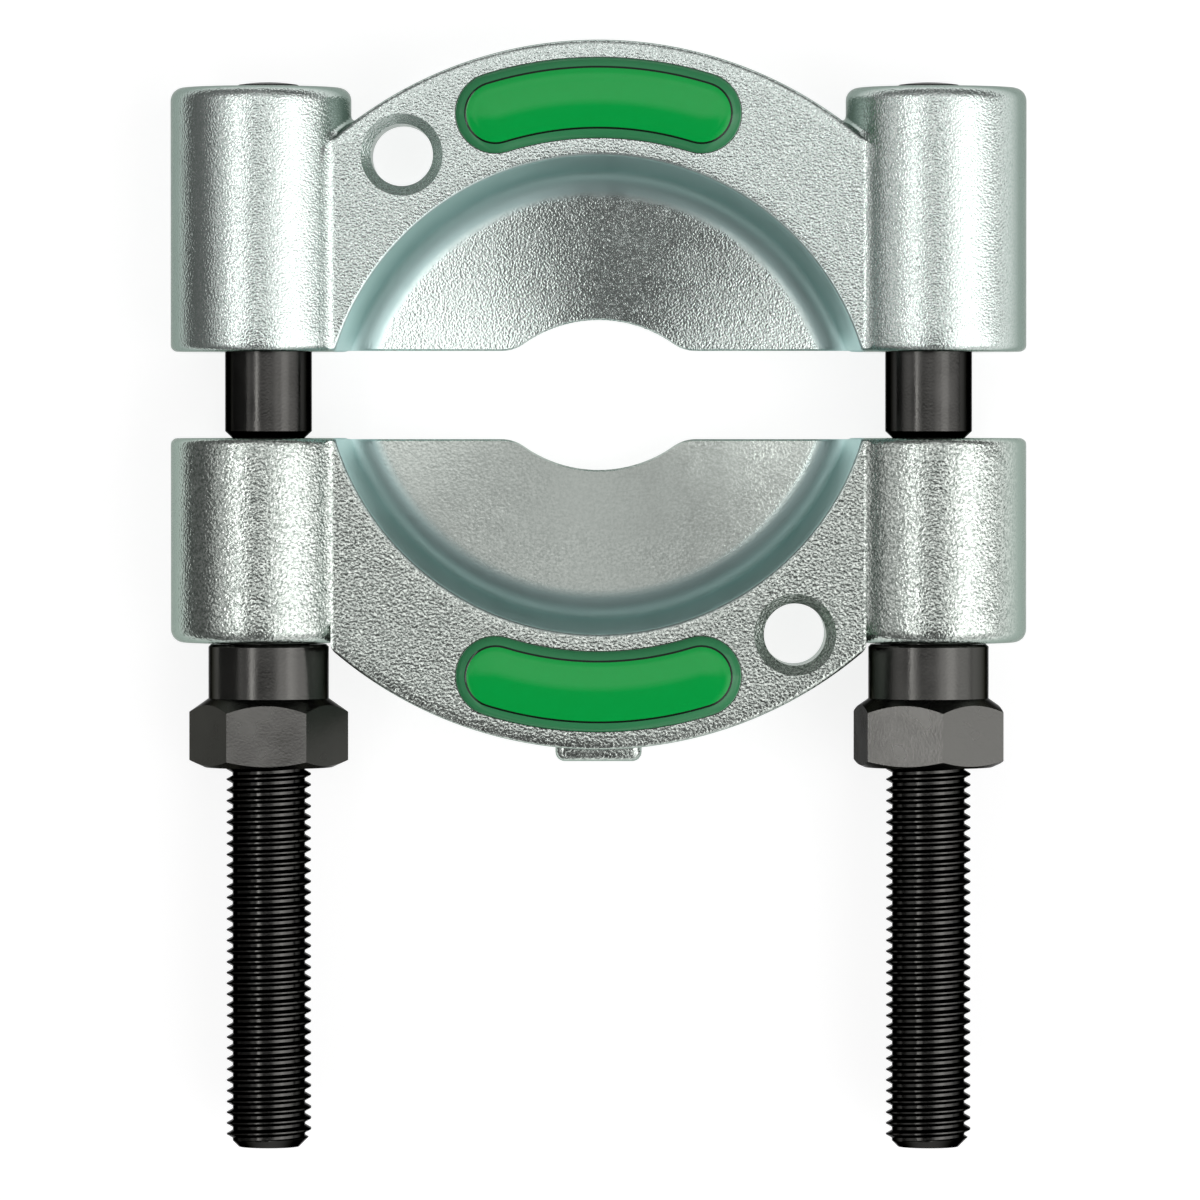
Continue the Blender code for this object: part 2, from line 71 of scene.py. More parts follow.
fixed_low, fixed_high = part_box("fixed_jaw")
_, moving_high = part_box("moving_jaw")
nut_low, nut_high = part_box("nut_left")
BOSS_RADIUS = (fixed_high.z - fixed_low.z) / 2
BOSS_X = fixed_high.x - BOSS_RADIUS
STUD_X = -(nut_low.x + nut_high.x) / 2
AXIS_HEIGHT = fixed_low.z + BOSS_RADIUS
FIXED_FACE_Y = fixed_low.y
MOVING_FACE_Y = moving_high.y
RIM_REACH = fixed_high.y - fixed_low.y
FIXED_BOSS_LENGTH = 30.65 * MM
MOVING_BOSS_LENGTH = 23.75 * MM
BOSS_EDGE_ROUND = 0.8 * MM
BOSS_END_ROUND = 1.5 * MM

RIM_CENTRE_BACK = 11.1 * MM
RIM_RADIUS = RIM_REACH + RIM_CENTRE_BACK
RIM_ROUND = 0.55 * MM
RIM_FILLET = 1.2 * MM
RIM_INTO_BOSS = 2 * MM
HALF_PLATE = 6.7 * MM
CREASE_BLEND = 0.8 * MM
MATING_RECESS = 0.15 * MM
MATING_CHAMFER = 0.2 * MM
SHOULDER_X = STUD_X - 7.4 * MM
SHOULDER_ROUND = 1.5 * MM
SHOULDER_GAP = 0.05 * MM

DISH_RADIUS = 31.7 * MM
DISH_CENTRE_BACK = 9.1 * MM
DISH_LIP_ROUND = 0.45 * MM
DISH_FILLET = 4.6 * MM
DISH_WALL_LEAN = math.radians(14)
DISH_FLOOR_SLOPE = math.radians(12)
KNIFE_EDGE = 1.0 * MM
DISH_BAND = 5.0 * MM
DISH_BAND_FADE = 1.2 * MM

NOTCH_RADIUS = 15.1 * MM
NOTCH_DEPTH = 3.6 * MM
NOTCH_BLEND = 4.5 * MM

BORE_RADIUS = 5.35 * MM
BORE_MOUTH = 0.5 * MM
LAND_RADIUS = (RIM_RADIUS + DISH_RADIUS - DISH_CENTRE_BACK + RIM_CENTRE_BACK) / 2
PULLER_OUTWARD_SHIFT = 0.35 * MM
PULLER_ANGLE = math.radians(33.9)
PULLER_HOLE_RADIUS = 3.6 * MM
PULLER_SINK_RADIUS = 4.75 * MM
LABEL_HALF_WIDTH = 4.65 * MM
LABEL_HALF_ANGLE = math.radians(17.1)
POCKET_SIDE_GAP = 0.07 * MM
POCKET_DEPTH = 0.5 * MM
POCKET_ROUND = 0.3 * MM
PAD_HALF_WIDTH = 5.0 * MM
PAD_HALF_HEIGHT = 3.0 * MM
PAD_PROUD = 1.5 * MM
PAD_ROUND = 1.1 * MM
PAD_ROOT = 2 * MM
CUT_OVERRUN = 3 * MM
WELD = 0.0005 * MM
QUARTER = math.pi / 2
JAW_SHARP_ANGLE = math.radians(30)

# How finely each stretch of a jaw's section, each span across the jaws, and each cut is divided.
BOSS_FACE_STEPS = 3
BOSS_EDGE_STEPS = 6
BOSS_SIDE_STEPS = 8
BOSS_END_STEPS = 8
MATING_EDGE_STEPS = 4
DISH_FLOOR_STEPS = 19
DISH_FILLET_STEPS = 18
DISH_WALL_STEPS = 3
DISH_LIP_STEPS = 6
LAND_STEPS = 10
RIM_ROUND_STEPS = 5
RIM_WALL_STEPS = 12
UNDERSIDE_STEPS = 16
ACROSS_PLATE_STEPS = 65
ACROSS_BOSS_STEPS = 64
ACROSS_FILLET_STEPS = 8
TO_SHOULDER_STEPS = 13
SHOULDER_STEPS = 11
BORE_STEPS = 96
SLOT_SIDE_STEPS = 48
SLOT_END_STEPS = 20
POCKET_ROUND_STEPS = 4
PAD_STEPS = 6


def arc(across, along, radius, start, end, steps):
    """Coordinates on an arc: the centre plus the radius times each angle's cosine, and its sine."""
    angle = np.linspace(start, end, steps + 1)
    return across + radius * np.cos(angle), along + radius * np.sin(angle)


def grid_shell(points, closed=True, kept=None):
    """Corners and four-sided faces of a grid of points.

    Each point is joined to the next along both parameters. The second closes on itself where closed is set.
    """
    index = np.arange(points.shape[0] * points.shape[1]).reshape(points.shape[:2])
    beside = np.roll(index, -1, axis=1)
    faces = np.stack([index[:-1], beside[:-1], beside[1:], index[1:]], axis=-1)
    if not closed:
        faces = faces[:, :-1]
    if kept is not None:
        faces = faces[kept]
    return points.reshape(-1, 3), faces.reshape(-1, 4)


def make_piece(name, shells):
    """One object from several shells. Points that coincide are welded, so that seams and poles close."""
    first = np.cumsum([0] + [len(points) for points, _ in shells])
    corners = np.concatenate([points for points, _ in shells])
    faces = np.concatenate([quads + start for (_, quads), start in zip(shells, first)])
    mesh = bpy.data.meshes.new(name)
    mesh.from_pydata(corners.tolist(), [], faces.tolist())
    weld = bmesh.new()
    weld.from_mesh(mesh)
    bmesh.ops.remove_doubles(weld, verts=weld.verts, dist=WELD)
    bmesh.ops.recalc_face_normals(weld, faces=weld.faces)
    weld.to_mesh(mesh)
    weld.free()
    piece = bpy.data.objects.new(name, mesh)
    bpy.context.scene.collection.objects.link(piece)
    return piece


def shape_with(piece, operation, tool):
    """Cuts or joins with another closed mesh, keeps the result as the piece's mesh, and removes the tool."""
    boolean = piece.modifiers.new("shape", "BOOLEAN")
    boolean.operation = operation
    boolean.solver = "EXACT"
    boolean.object = tool
    graph = bpy.context.evaluated_depsgraph_get()
    shaped = bpy.data.meshes.new_from_object(piece.evaluated_get(graph))
    piece.modifiers.clear()
    piece.data = shaped
    bpy.data.objects.remove(tool, do_unlink=True)


def shade(piece, material, sharp_angle):
    """Smooth shading, with edges over the given angle left sharp, and one material for the whole piece."""
    piece.data.materials.clear()
    piece.data.materials.append(material)
    piece.data.shade_smooth()
    piece.data.set_sharp_from_angle(angle=sharp_angle)


def turned(radius, along, segments):
    """A profile turned about Y: x is the radius times the sine of the turn, and z times its cosine."""
    turn = np.linspace(0, 2 * math.pi, segments, endpoint=False)
    radius = np.asarray(radius)[:, None]
    along = np.asarray(along)[:, None]
    return np.stack([radius * np.sin(turn), along + 0 * turn, radius * np.cos(turn)], axis=-1)


def rim_edge(x, inset, shouldered):
    """How far the rim reaches at each x: a circle about the rim's centre, less the inset.

    A shouldered rim ends in a smaller circle that falls to the boss's end.
    """
    rim = np.sqrt(np.maximum((RIM_RADIUS - inset) ** 2 - x**2, 0)) - RIM_CENTRE_BACK
    if not shouldered:
        return rim
    corner_x = SHOULDER_X - SHOULDER_ROUND
    corner_y = math.sqrt((RIM_RADIUS - SHOULDER_ROUND) ** 2 - corner_x**2) - RIM_CENTRE_BACK
    beyond = x - corner_x
    corner = corner_y + np.sqrt(np.maximum((SHOULDER_ROUND - inset) ** 2 - beyond**2, 0))
    return np.where(x > corner_x * (RIM_RADIUS - inset) / (RIM_RADIUS - SHOULDER_ROUND), corner, rim)


def mating_edge(x):
    """The notch's arc about a point beyond the edge, a smaller arc the other way, and the straight edge."""
    centre = MATING_RECESS + NOTCH_DEPTH - NOTCH_RADIUS
    blend_y = MATING_RECESS + NOTCH_BLEND
    blend_x = math.sqrt((NOTCH_RADIUS + NOTCH_BLEND) ** 2 - (blend_y - centre) ** 2)
    touch = blend_x * NOTCH_RADIUS / (NOTCH_RADIUS + NOTCH_BLEND)
    notch = centre + np.sqrt(np.maximum(NOTCH_RADIUS**2 - x**2, 0))
    blend = blend_y - np.sqrt(np.maximum(NOTCH_BLEND**2 - (x - blend_x) ** 2, 0))
    return np.where(x < touch, notch, np.where(x < blend_x, blend, MATING_RECESS))


def boss_height(x):
    """Half the boss's height: the root of its radius squared less the squared distance from its axis."""
    return np.sqrt(np.maximum(BOSS_RADIUS**2 - (x - BOSS_X) ** 2, 0))


def land_height(x):
    """The height of the plate or the boss, whichever is more, with the crease between them filled.

    The fill is a quarter of the blend's size times the square of how near the two heights are.
    """
    boss_z = boss_height(x)
    nearness = np.maximum(CREASE_BLEND - np.abs(HALF_PLATE - boss_z), 0) / CREASE_BLEND
    filled = np.maximum(boss_z, HALF_PLATE) + nearness**2 * CREASE_BLEND / 4
    return np.where(x < BOSS_X, filled, boss_z)


def boss_face(x, on_boss):
    """The boss's flat face and rounded edge from mid height up, and whether a section has them.

    On the edge the radius grows with the sine of a turn, and y with one less its cosine. Beside the plate
    the turn stops where the edge is level with the plate's face, which lies back by the recess.
    """
    off_axis = x - BOSS_X
    disc = BOSS_RADIUS - BOSS_EDGE_ROUND
    level_with_plate = math.acos(1 - MATING_RECESS / BOSS_EDGE_ROUND)
    low_turn = np.arcsin(np.clip((np.abs(off_axis) - disc) / BOSS_EDGE_ROUND, 0, 1))
    high_turn = level_with_plate + (QUARTER - level_with_plate) * on_boss
    rise = np.linspace(0, 1, BOSS_EDGE_STEPS + 1)
    turn = low_turn + (np.maximum(high_turn, low_turn) - low_turn) * rise
    round_r = disc + BOSS_EDGE_ROUND * np.sin(turn)
    round_y = BOSS_EDGE_ROUND * (1 - np.cos(turn))
    round_z = np.sqrt(np.maximum(round_r**2 - off_axis**2, 0))
    disc_z = round_z[:, :1] * np.linspace(0, 1, BOSS_FACE_STEPS + 1)[:-1]
    face_y = np.concatenate([round_y[:, :1] + 0 * disc_z, round_y], axis=1)
    face_z = np.concatenate([disc_z, round_z], axis=1)
    return face_y, face_z, low_turn < high_turn


def dish_profile():
    """The dish's turned profile from the knife edge out: a sloping floor, a fillet, a leaning wall, a lip.

    The fillet's centre is one radius inside the wall's line and one radius above the floor's line.
    """
    knife_radius = DISH_CENTRE_BACK + MATING_RECESS + NOTCH_DEPTH
    knife_height = KNIFE_EDGE - HALF_PLATE
    fall, lean = math.tan(DISH_FLOOR_SLOPE), math.tan(DISH_WALL_LEAN)
    lip = arc(
        DISH_RADIUS + DISH_LIP_ROUND, HALF_PLATE - DISH_LIP_ROUND, DISH_LIP_ROUND,
        math.pi - DISH_WALL_LEAN, QUARTER, DISH_LIP_STEPS,
    )
    floor_offset = knife_height - knife_radius * fall + DISH_FILLET / math.cos(DISH_FLOOR_SLOPE)
    wall_offset = lip[0][0] - lip[1][0] * lean - DISH_FILLET / math.cos(DISH_WALL_LEAN)
    centre_z = (floor_offset + wall_offset * fall) / (1 - lean * fall)
    centre_r = wall_offset + centre_z * lean
    fillet = arc(
        centre_r, centre_z, DISH_FILLET, DISH_FLOOR_SLOPE - QUARTER, -DISH_WALL_LEAN, DISH_FILLET_STEPS
    )
    floor_r = np.linspace(knife_radius, fillet[0][0], DISH_FLOOR_STEPS + 1)[:-1]
    floor_z = knife_height + (floor_r - knife_radius) * fall
    wall = np.linspace(0, 1, DISH_WALL_STEPS + 1)[1:-1]
    wall_r = fillet[0][-1] + (lip[0][0] - fillet[0][-1]) * wall
    wall_z = fillet[1][-1] + (lip[1][0] - fillet[1][-1]) * wall
    radius = np.concatenate([floor_r, fillet[0], wall_r, lip[0]])
    height = np.concatenate([floor_z, fillet[1], wall_z, lip[1]])
    return radius, height


def dish_stations(x, clip_y, land_z):
    """The dish in each section: one station for each circle of its profile, cut short at the mating edge.

    y is the square root of the circle's radius squared less x squared, and z is the profile's height there.
    """
    profile_r, profile_z = dish_profile()
    lip_r = profile_r[-1]
    y = np.maximum(np.sqrt(np.maximum(profile_r**2 - x**2, 0)) - DISH_CENTRE_BACK, clip_y)
    from_centre = np.hypot(x, y + DISH_CENTRE_BACK)
    near_lip = np.clip((from_centre - DISH_RADIUS) / (lip_r - DISH_RADIUS), 0, 1)
    z = np.interp(from_centre, profile_r, profile_z) + near_lip * (land_z - HALF_PLATE)
    return y, np.where(from_centre >= lip_r, land_z, np.minimum(z, land_z))


def rim_stations(x, boss_length, ends_at_rim, shouldered, land_z, foot_z):
    """The rim's rounded edge, and its wall from there down to its foot, which turns out beside the boss.

    On the edge the inset falls with one less the sine of a turn, and the height with one less its cosine.
    The wall's foot is carried out by an arc of the fillet's radius, by its distance from the boss's side.
    """
    edge_round = np.minimum(RIM_ROUND, (land_z - foot_z) / 2)
    if shouldered:
        edge_round = np.minimum(edge_round, np.maximum(SHOULDER_X - x, 0))
    bend = np.linspace(0, QUARTER, RIM_ROUND_STEPS + 1)
    inset = edge_round * (1 - np.sin(bend))
    rim_z = land_z - edge_round * (1 - np.cos(bend))
    if ends_at_rim:
        rim_y = rim_edge(x, inset, shouldered)
    else:
        into_boss = rim_edge(np.minimum(x, SHOULDER_X + RIM_INTO_BOSS), inset, False)
        rim_y = np.minimum(into_boss, boss_length - BOSS_END_ROUND - RIM_FILLET - inset)

    up_wall = np.linspace(1, 0, RIM_WALL_STEPS + 1)[1:] ** 2
    wall_z = foot_z + (rim_z[:, -1:] - foot_z) * up_wall
    wall_y = rim_y[:, -1:] + 0 * wall_z
    if not (shouldered and ends_at_rim):
        boss_side = BOSS_X - np.sqrt(np.maximum(BOSS_RADIUS**2 - wall_z**2, 0))
        beside_boss = np.clip(boss_side - np.minimum(x, boss_side), 0, RIM_FILLET)
        flare = RIM_FILLET - np.sqrt(RIM_FILLET**2 - (RIM_FILLET - beside_boss) ** 2)
        wall_y = wall_y + flare
    return rim_y, rim_z, wall_y, wall_z


def boss_stations(x, boss_length, start_y, boss_z):
    """The boss from the rim's wall to its end: its straight side, its rounded end and its flat end face.

    On the rounded end the radius falls with the cosine of a turn, and y rises with its sine.
    """
    off_axis = x - BOSS_X
    along = np.linspace(0, 1, BOSS_SIDE_STEPS + 1)[1:]
    side_y = start_y + (boss_length - BOSS_END_ROUND - start_y) * along
    side_z = boss_z + 0 * side_y
    flat = BOSS_RADIUS - BOSS_END_ROUND
    last_turn = np.arccos(np.clip((np.abs(off_axis) - flat) / BOSS_END_ROUND, 0, 1))
    end_turn = np.minimum(np.linspace(0, QUARTER, BOSS_END_STEPS + 1)[1:], last_turn)
    end_y = boss_length - BOSS_END_ROUND * (1 - np.sin(end_turn))
    end_r = flat + BOSS_END_ROUND * np.cos(end_turn)
    end_z = np.sqrt(np.maximum(end_r**2 - off_axis**2, 0))
    end_z = np.where((end_turn >= last_turn) & (last_turn < QUARTER), 0, end_z)
    face_z = end_z[:, -1:] * np.linspace(1, 0, BOSS_FACE_STEPS + 1)[1:]
    face_y = end_y[:, -1:] + 0 * face_z
    return np.concatenate([side_y, end_y, face_y], axis=1), np.concatenate([side_z, end_z, face_z], axis=1)


def jaw_sections(x, boss_length, ends_at_rim, shouldered):
    """Sections through a jaw across x, one closed loop a row, as (x, y, z) in the jaw's own frame.

    A loop goes up the mating face, over the dish and the land, round the rim and down its wall, along the
    boss, round the boss's end, and back the same way underneath without the dish. Stations that a section
    doesn't have fall on the point before them. Sections that end at the rim have no boss beyond it. The
    numbers of the boss's first and last station are returned too.
    """
    x = np.asarray(x)[:, None]
    boss_z = boss_height(x)
    land_z = land_height(x)
    crossing = BOSS_X - math.sqrt(BOSS_RADIUS**2 - HALF_PLATE**2)
    on_boss = np.clip((x - crossing) / BOSS_EDGE_ROUND, 0, 1)

    # The edge between the mating face and the top is chamfered on the plate and rounded on the boss.
    plate_y = mating_edge(x)
    chamfer = MATING_CHAMFER * (1 - on_boss)
    edge_y = plate_y + (BOSS_EDGE_ROUND - plate_y) * on_boss
    clip_y = edge_y + chamfer
    dish_y, dish_z = dish_stations(x, clip_y, land_z)
    edge_z = dish_z[:, :1] - chamfer

    # The mating face. The boss's disc and rounded edge stand a little proud of the plate.
    disc_y, disc_z, has_disc = boss_face(x, on_boss)
    middle_z = np.where(has_disc, 0, np.minimum(0, (edge_z - HALF_PLATE) / 2))
    face_y = np.where(has_disc, disc_y, plate_y)
    upper_face_z = np.where(has_disc, disc_z, middle_z)
    lower_face_z = np.where(has_disc, -disc_z, middle_z)
    rise = np.linspace(0, 1, MATING_EDGE_STEPS + 1)[1:]
    upper_edge_y = face_y[:, -1:] + (edge_y - face_y[:, -1:]) * rise
    upper_edge_z = upper_face_z[:, -1:] + (edge_z - upper_face_z[:, -1:]) * rise
    lower_edge_z = lower_face_z[:, -1:] + (chamfer - land_z - lower_face_z[:, -1:]) * rise

    foot_z = 0 * boss_z if ends_at_rim else boss_z
    rim_y, rim_z, wall_y, wall_z = rim_stations(x, boss_length, ends_at_rim, shouldered, land_z, foot_z)
    boss_y, past_z = boss_stations(x, boss_length, wall_y[:, -1:], boss_z)
    if ends_at_rim:
        boss_y = wall_y[:, -1:] + 0 * boss_y
        past_z = 0 * past_z

    # The land between the dish and the rim, and the flat underside.
    across = np.linspace(0, 1, LAND_STEPS + 1)[1:-1]
    land_y = dish_y[:, -1:] + (rim_y[:, :1] - dish_y[:, -1:]) * across
    under_y = rim_y[:, :1] + (clip_y - rim_y[:, :1]) * np.linspace(0, 1, UNDERSIDE_STEPS + 1)[1:]

    before_boss = [
        (upper_edge_y[:, ::-1], lower_edge_z[:, ::-1]), (face_y[:, ::-1], lower_face_z[:, ::-1]),
        (face_y[:, 1:], upper_face_z[:, 1:]), (upper_edge_y, upper_edge_z),
        (dish_y, dish_z), (land_y, land_z + 0 * land_y), (rim_y, rim_z), (wall_y, wall_z),
    ]
    boss = [(boss_y, past_z), (boss_y[:, ::-1], -past_z[:, ::-1])]
    after_boss = [
        (wall_y[:, ::-1], -wall_z[:, ::-1]), (rim_y[:, ::-1], -rim_z[:, ::-1]),
        (under_y, -land_z + 0 * under_y),
    ]
    y, z = (np.concatenate(stations, axis=1) for stations in zip(*before_boss, *boss, *after_boss))
    first = sum(station_y.shape[1] for station_y, _ in before_boss)
    return np.stack([x + 0 * y, y, z], axis=-1), (first, first + 2 * boss_y.shape[1])


def jaw_shell(boss_length):
    """The whole forging before it is bored: the sections of its right half, and their mirror image.

    The sections lie closer together round the boss and its creases. Where the boss is shorter than the rim
    beside it, the rim ends in a shoulder.
    """
    boss_side = BOSS_X - BOSS_RADIUS
    over_boss = BOSS_X - BOSS_RADIUS * np.cos(np.linspace(0, math.pi, ACROSS_BOSS_STEPS + 1))
    shouldered = boss_length < rim_edge(np.array([boss_side]), 0, False)[0]
    plate_x = np.linspace(0, boss_side - RIM_FILLET, ACROSS_PLATE_STEPS + 1)
    if shouldered:
        corner_x = SHOULDER_X - SHOULDER_ROUND
        turn = np.linspace(0, QUARTER, SHOULDER_STEPS + 1)[1:]
        near_x = np.linspace(boss_side - RIM_FILLET, corner_x, TO_SHOULDER_STEPS + 1)[1:]
        rim_x = np.concatenate([plate_x, near_x, corner_x + SHOULDER_ROUND * np.sin(turn)])
        boss_x = np.concatenate([[SHOULDER_X], over_boss[over_boss > SHOULDER_X + SHOULDER_GAP]])
    else:
        turn = np.linspace(QUARTER, 0, ACROSS_FILLET_STEPS + 1)
        rim_x = np.concatenate([plate_x, boss_side - RIM_FILLET * (1 - np.cos(turn))[1:-1]])
        boss_x = over_boss
    rim_rows, _ = jaw_sections(rim_x, boss_length, True, shouldered)
    boss_rows, (first, last) = jaw_sections(boss_x, boss_length, False, shouldered)
    half = np.concatenate([rim_rows, boss_rows])
    mirror = half[:0:-1] * np.array([-1, 1, 1])
    points = np.concatenate([mirror, half])

    # Beside the rim the boss begins as a line, and no face joins that line to the rim's foot.
    kept = np.ones((points.shape[0] - 1, points.shape[1]), bool)
    if not shouldered:
        seam = rim_x.size - 1
        for row in (mirror.shape[0] + seam, mirror.shape[0] - seam - 1):
            kept[row, first - 1:last] = False
    return grid_shell(points, kept=kept)


def slot_shell(half_width, height):
    """A slot bent round the rim's centre, with round ends: one ring for each half width and its height.

    Each point is the rim's centre plus the land's radius at one angle plus the half width at another.
    """
    side = np.linspace(LABEL_HALF_ANGLE, -LABEL_HALF_ANGLE, SLOT_SIDE_STEPS + 1)
    end = np.linspace(0, math.pi, SLOT_END_STEPS + 1)[1:-1]
    centre_angle = np.concatenate([
        side, np.full(end.size, -LABEL_HALF_ANGLE), side[::-1], np.full(end.size, LABEL_HALF_ANGLE),
    ])
    outward_angle = np.concatenate([
        side, -LABEL_HALF_ANGLE - end, side[::-1] + math.pi, LABEL_HALF_ANGLE + math.pi - end,
    ])
    half_width = np.asarray(half_width)[:, None]
    x = LAND_RADIUS * np.sin(centre_angle) + half_width * np.sin(outward_angle)
    y = LAND_RADIUS * np.cos(centre_angle) + half_width * np.cos(outward_angle) - RIM_CENTRE_BACK
    z = np.asarray(height)[:, None] + 0 * x
    return np.stack([x, y, z], axis=-1)


def jaw_cuts(boss_length):
    """The bores, the puller hole and the label's pocket, each a closed turned or swept shape."""
    mouth = BORE_RADIUS + BORE_MOUTH
    bore_r = [0, mouth, mouth, BORE_RADIUS, BORE_RADIUS, mouth, mouth, 0]
    bore_y = [
        -CUT_OVERRUN, -CUT_OVERRUN, 0, BORE_MOUTH,
        boss_length - BORE_MOUTH, boss_length, boss_length + CUT_OVERRUN, boss_length + CUT_OVERRUN,
    ]
    bore = turned(bore_r, bore_y, BORE_STEPS)
    bores = [grid_shell(bore + np.array([side * STUD_X, 0, 0])) for side in (-1, 1)]

    # The hole is turned about Y like the bores, and then stood upright by swapping y and z.
    sink = PULLER_SINK_RADIUS - PULLER_HOLE_RADIUS
    above = HALF_PLATE + CUT_OVERRUN
    hole_r = np.array([0, PULLER_SINK_RADIUS, PULLER_SINK_RADIUS, PULLER_HOLE_RADIUS])
    hole_z = np.array([above, above, HALF_PLATE, HALF_PLATE - sink])
    hole = turned(np.append(hole_r, hole_r[::-1]), np.append(hole_z, -hole_z[::-1]), BORE_STEPS)
    from_centre = LAND_RADIUS + PULLER_OUTWARD_SHIFT
    hole_x = -from_centre * math.sin(PULLER_ANGLE)
    hole_y = from_centre * math.cos(PULLER_ANGLE) - RIM_CENTRE_BACK
    hole = hole[..., [0, 2, 1]] + np.array([hole_x, hole_y, 0])

    pocket = LABEL_HALF_WIDTH + POCKET_SIDE_GAP
    floor = HALF_PLATE - POCKET_DEPTH
    corner = arc(
        pocket - POCKET_ROUND, floor + POCKET_ROUND, POCKET_ROUND, -QUARTER, 0, POCKET_ROUND_STEPS
    )
    width = np.concatenate([[0], corner[0], [pocket, 0]])
    height = np.concatenate([[floor], corner[1], [above, above]])
    return bores + [grid_shell(hole), grid_shell(slot_shell(width, height))]


def pad_shell():
    """The low forged pad on the rim: a rounded rectangle, drawn in as it rises, and closed at its middle.

    The drawing in is one less the cosine of a turn, and the rise is its sine, both times the pad's round.
    """
    turn = np.linspace(0, QUARTER, PAD_STEPS + 1)
    inset = PAD_ROUND * (1 - np.cos(turn))
    rise = PAD_ROUND * np.sin(turn) - PAD_ROUND
    around = np.concatenate([turn + quarter * QUARTER for quarter in range(4)])
    quarter_of = np.repeat(np.arange(4), turn.size)
    side_x = np.array([1, -1, -1, 1])[quarter_of] * (PAD_HALF_WIDTH - PAD_ROUND)
    side_z = np.array([1, 1, -1, -1])[quarter_of] * (PAD_HALF_HEIGHT - PAD_ROUND)
    radius = np.concatenate([[PAD_ROUND], PAD_ROUND - inset])[:, None]
    x = side_x + radius * np.cos(around)
    z = side_z + radius * np.sin(around)
    top = RIM_REACH + PAD_PROUD
    y = np.concatenate([[top - PAD_PROUD - PAD_ROOT], top + rise])[:, None] + 0 * x
    middle = np.zeros((1, around.size))
    x = np.concatenate([middle, x, middle])
    z = np.concatenate([middle, z, middle])
    y = np.concatenate([y[:1], y, y[-1:]])
    return grid_shell(np.stack([x, y, z], axis=-1))


def corner_places(piece):
    """The x, y and z of all the corners of a piece."""
    corners = np.empty(len(piece.data.vertices) * 3)
    piece.data.vertices.foreach_get("co", corners)
    return corners.reshape(-1, 3).T


def add_mark(piece, name, values):
    """An attribute with one value at each corner of a piece, for its material to read."""
    attribute = piece.data.attributes.new(name, "FLOAT", "POINT")
    attribute.data.foreach_set("value", values.astype(np.float32))


def mark_dish(piece):
    """Two attributes by the distance from the dish's centre: the whole dish, and its wall with the fillet.

    Each is one inside and none outside and underneath. Both fall to none over the lip's own round, and the
    wall's also where the fillet meets the floor.
    """
    x, y, z = corner_places(piece)
    from_centre = np.hypot(x, y + DISH_CENTRE_BACK)
    inside = np.clip((DISH_RADIUS + DISH_LIP_ROUND - from_centre) / DISH_LIP_ROUND, 0, 1)
    inside = np.where(z > KNIFE_EDGE / 2 - HALF_PLATE, inside, 0)
    past_floor = np.clip((from_centre - DISH_RADIUS + DISH_BAND) / DISH_BAND_FADE, 0, 1)
    add_mark(piece, "in_dish", inside)
    add_mark(piece, "on_dish_wall", inside * past_floor)


def place_jaw_part(piece, moving):
    """Carries a mesh from the jaw's own frame to its place. The moving jaw is turned half round."""
    spot = Matrix.Translation((0, MOVING_FACE_Y if moving else FIXED_FACE_Y, AXIS_HEIGHT))
    turn = Matrix.Rotation(math.pi if moving else 0, 4, "Z")
    piece.data.transform(spot @ turn)


def node_group(name, inputs, outputs):
    """An empty shader node group with float or vector sockets, and its two end nodes."""
    group = bpy.data.node_groups.new(name, "ShaderNodeTree")
    for socket, kind in inputs.items():
        group.interface.new_socket(socket, in_out="INPUT", socket_type="NodeSocket" + kind)
    for socket, kind in outputs.items():
        group.interface.new_socket(socket, in_out="OUTPUT", socket_type="NodeSocket" + kind)
    return group, group.nodes.new("NodeGroupInput"), group.nodes.new("NodeGroupOutput")


def add_math(tree, operation, first, second=None):
    """A math node on one or two sockets or numbers. Returns its output."""
    node = tree.nodes.new("ShaderNodeMath")
    node.operation = operation
    for socket, value in zip(node.inputs, (first, second)):
        if isinstance(value, bpy.types.NodeSocket):
            tree.links.new(value, socket)
        elif value is not None:
            socket.default_value = value
    return node.outputs[0]


def add_noise(tree, vector, scale, detail=2.0, roughness=0.5):
    """A noise texture on a vector. The scale is a number or a socket. Returns its value."""
    node = tree.nodes.new("ShaderNodeTexNoise")
    node.inputs["Detail"].default_value = detail
    node.inputs["Roughness"].default_value = roughness
    tree.links.new(vector, node.inputs["Vector"])
    if isinstance(scale, bpy.types.NodeSocket):
        tree.links.new(scale, node.inputs["Scale"])
    else:
        node.inputs["Scale"].default_value = scale
    return node.outputs["Fac"]


def add_range(tree, value, low, high, to_low, to_high):
    """A value moved from one range to another, and held at the ends. Returns its output."""
    node = tree.nodes.new("ShaderNodeMapRange")
    for socket, number in zip(("From Min", "From Max", "To Min", "To Max"), (low, high, to_low, to_high)):
        node.inputs[socket].default_value = number
    tree.links.new(value, node.inputs["Value"])
    return node.outputs["Result"]


def add_mix(tree, factor, first, second):
    """Two colours mixed by a factor. Each colour is a socket or three numbers. Returns the colour."""
    node = tree.nodes.new("ShaderNodeMix")
    node.data_type = "RGBA"
    tree.links.new(factor, node.inputs["Factor"])
    for socket, colour in ((node.inputs[6], first), (node.inputs[7], second)):
        if isinstance(colour, bpy.types.NodeSocket):
            tree.links.new(colour, socket)
        else:
            socket.default_value = (*colour, 1)
    return node.outputs[2]


# Blasted or turned grain: small dents of one size over slow waves in the surface, and specks of about
# the dents' size that are brighter or duller than the rest.

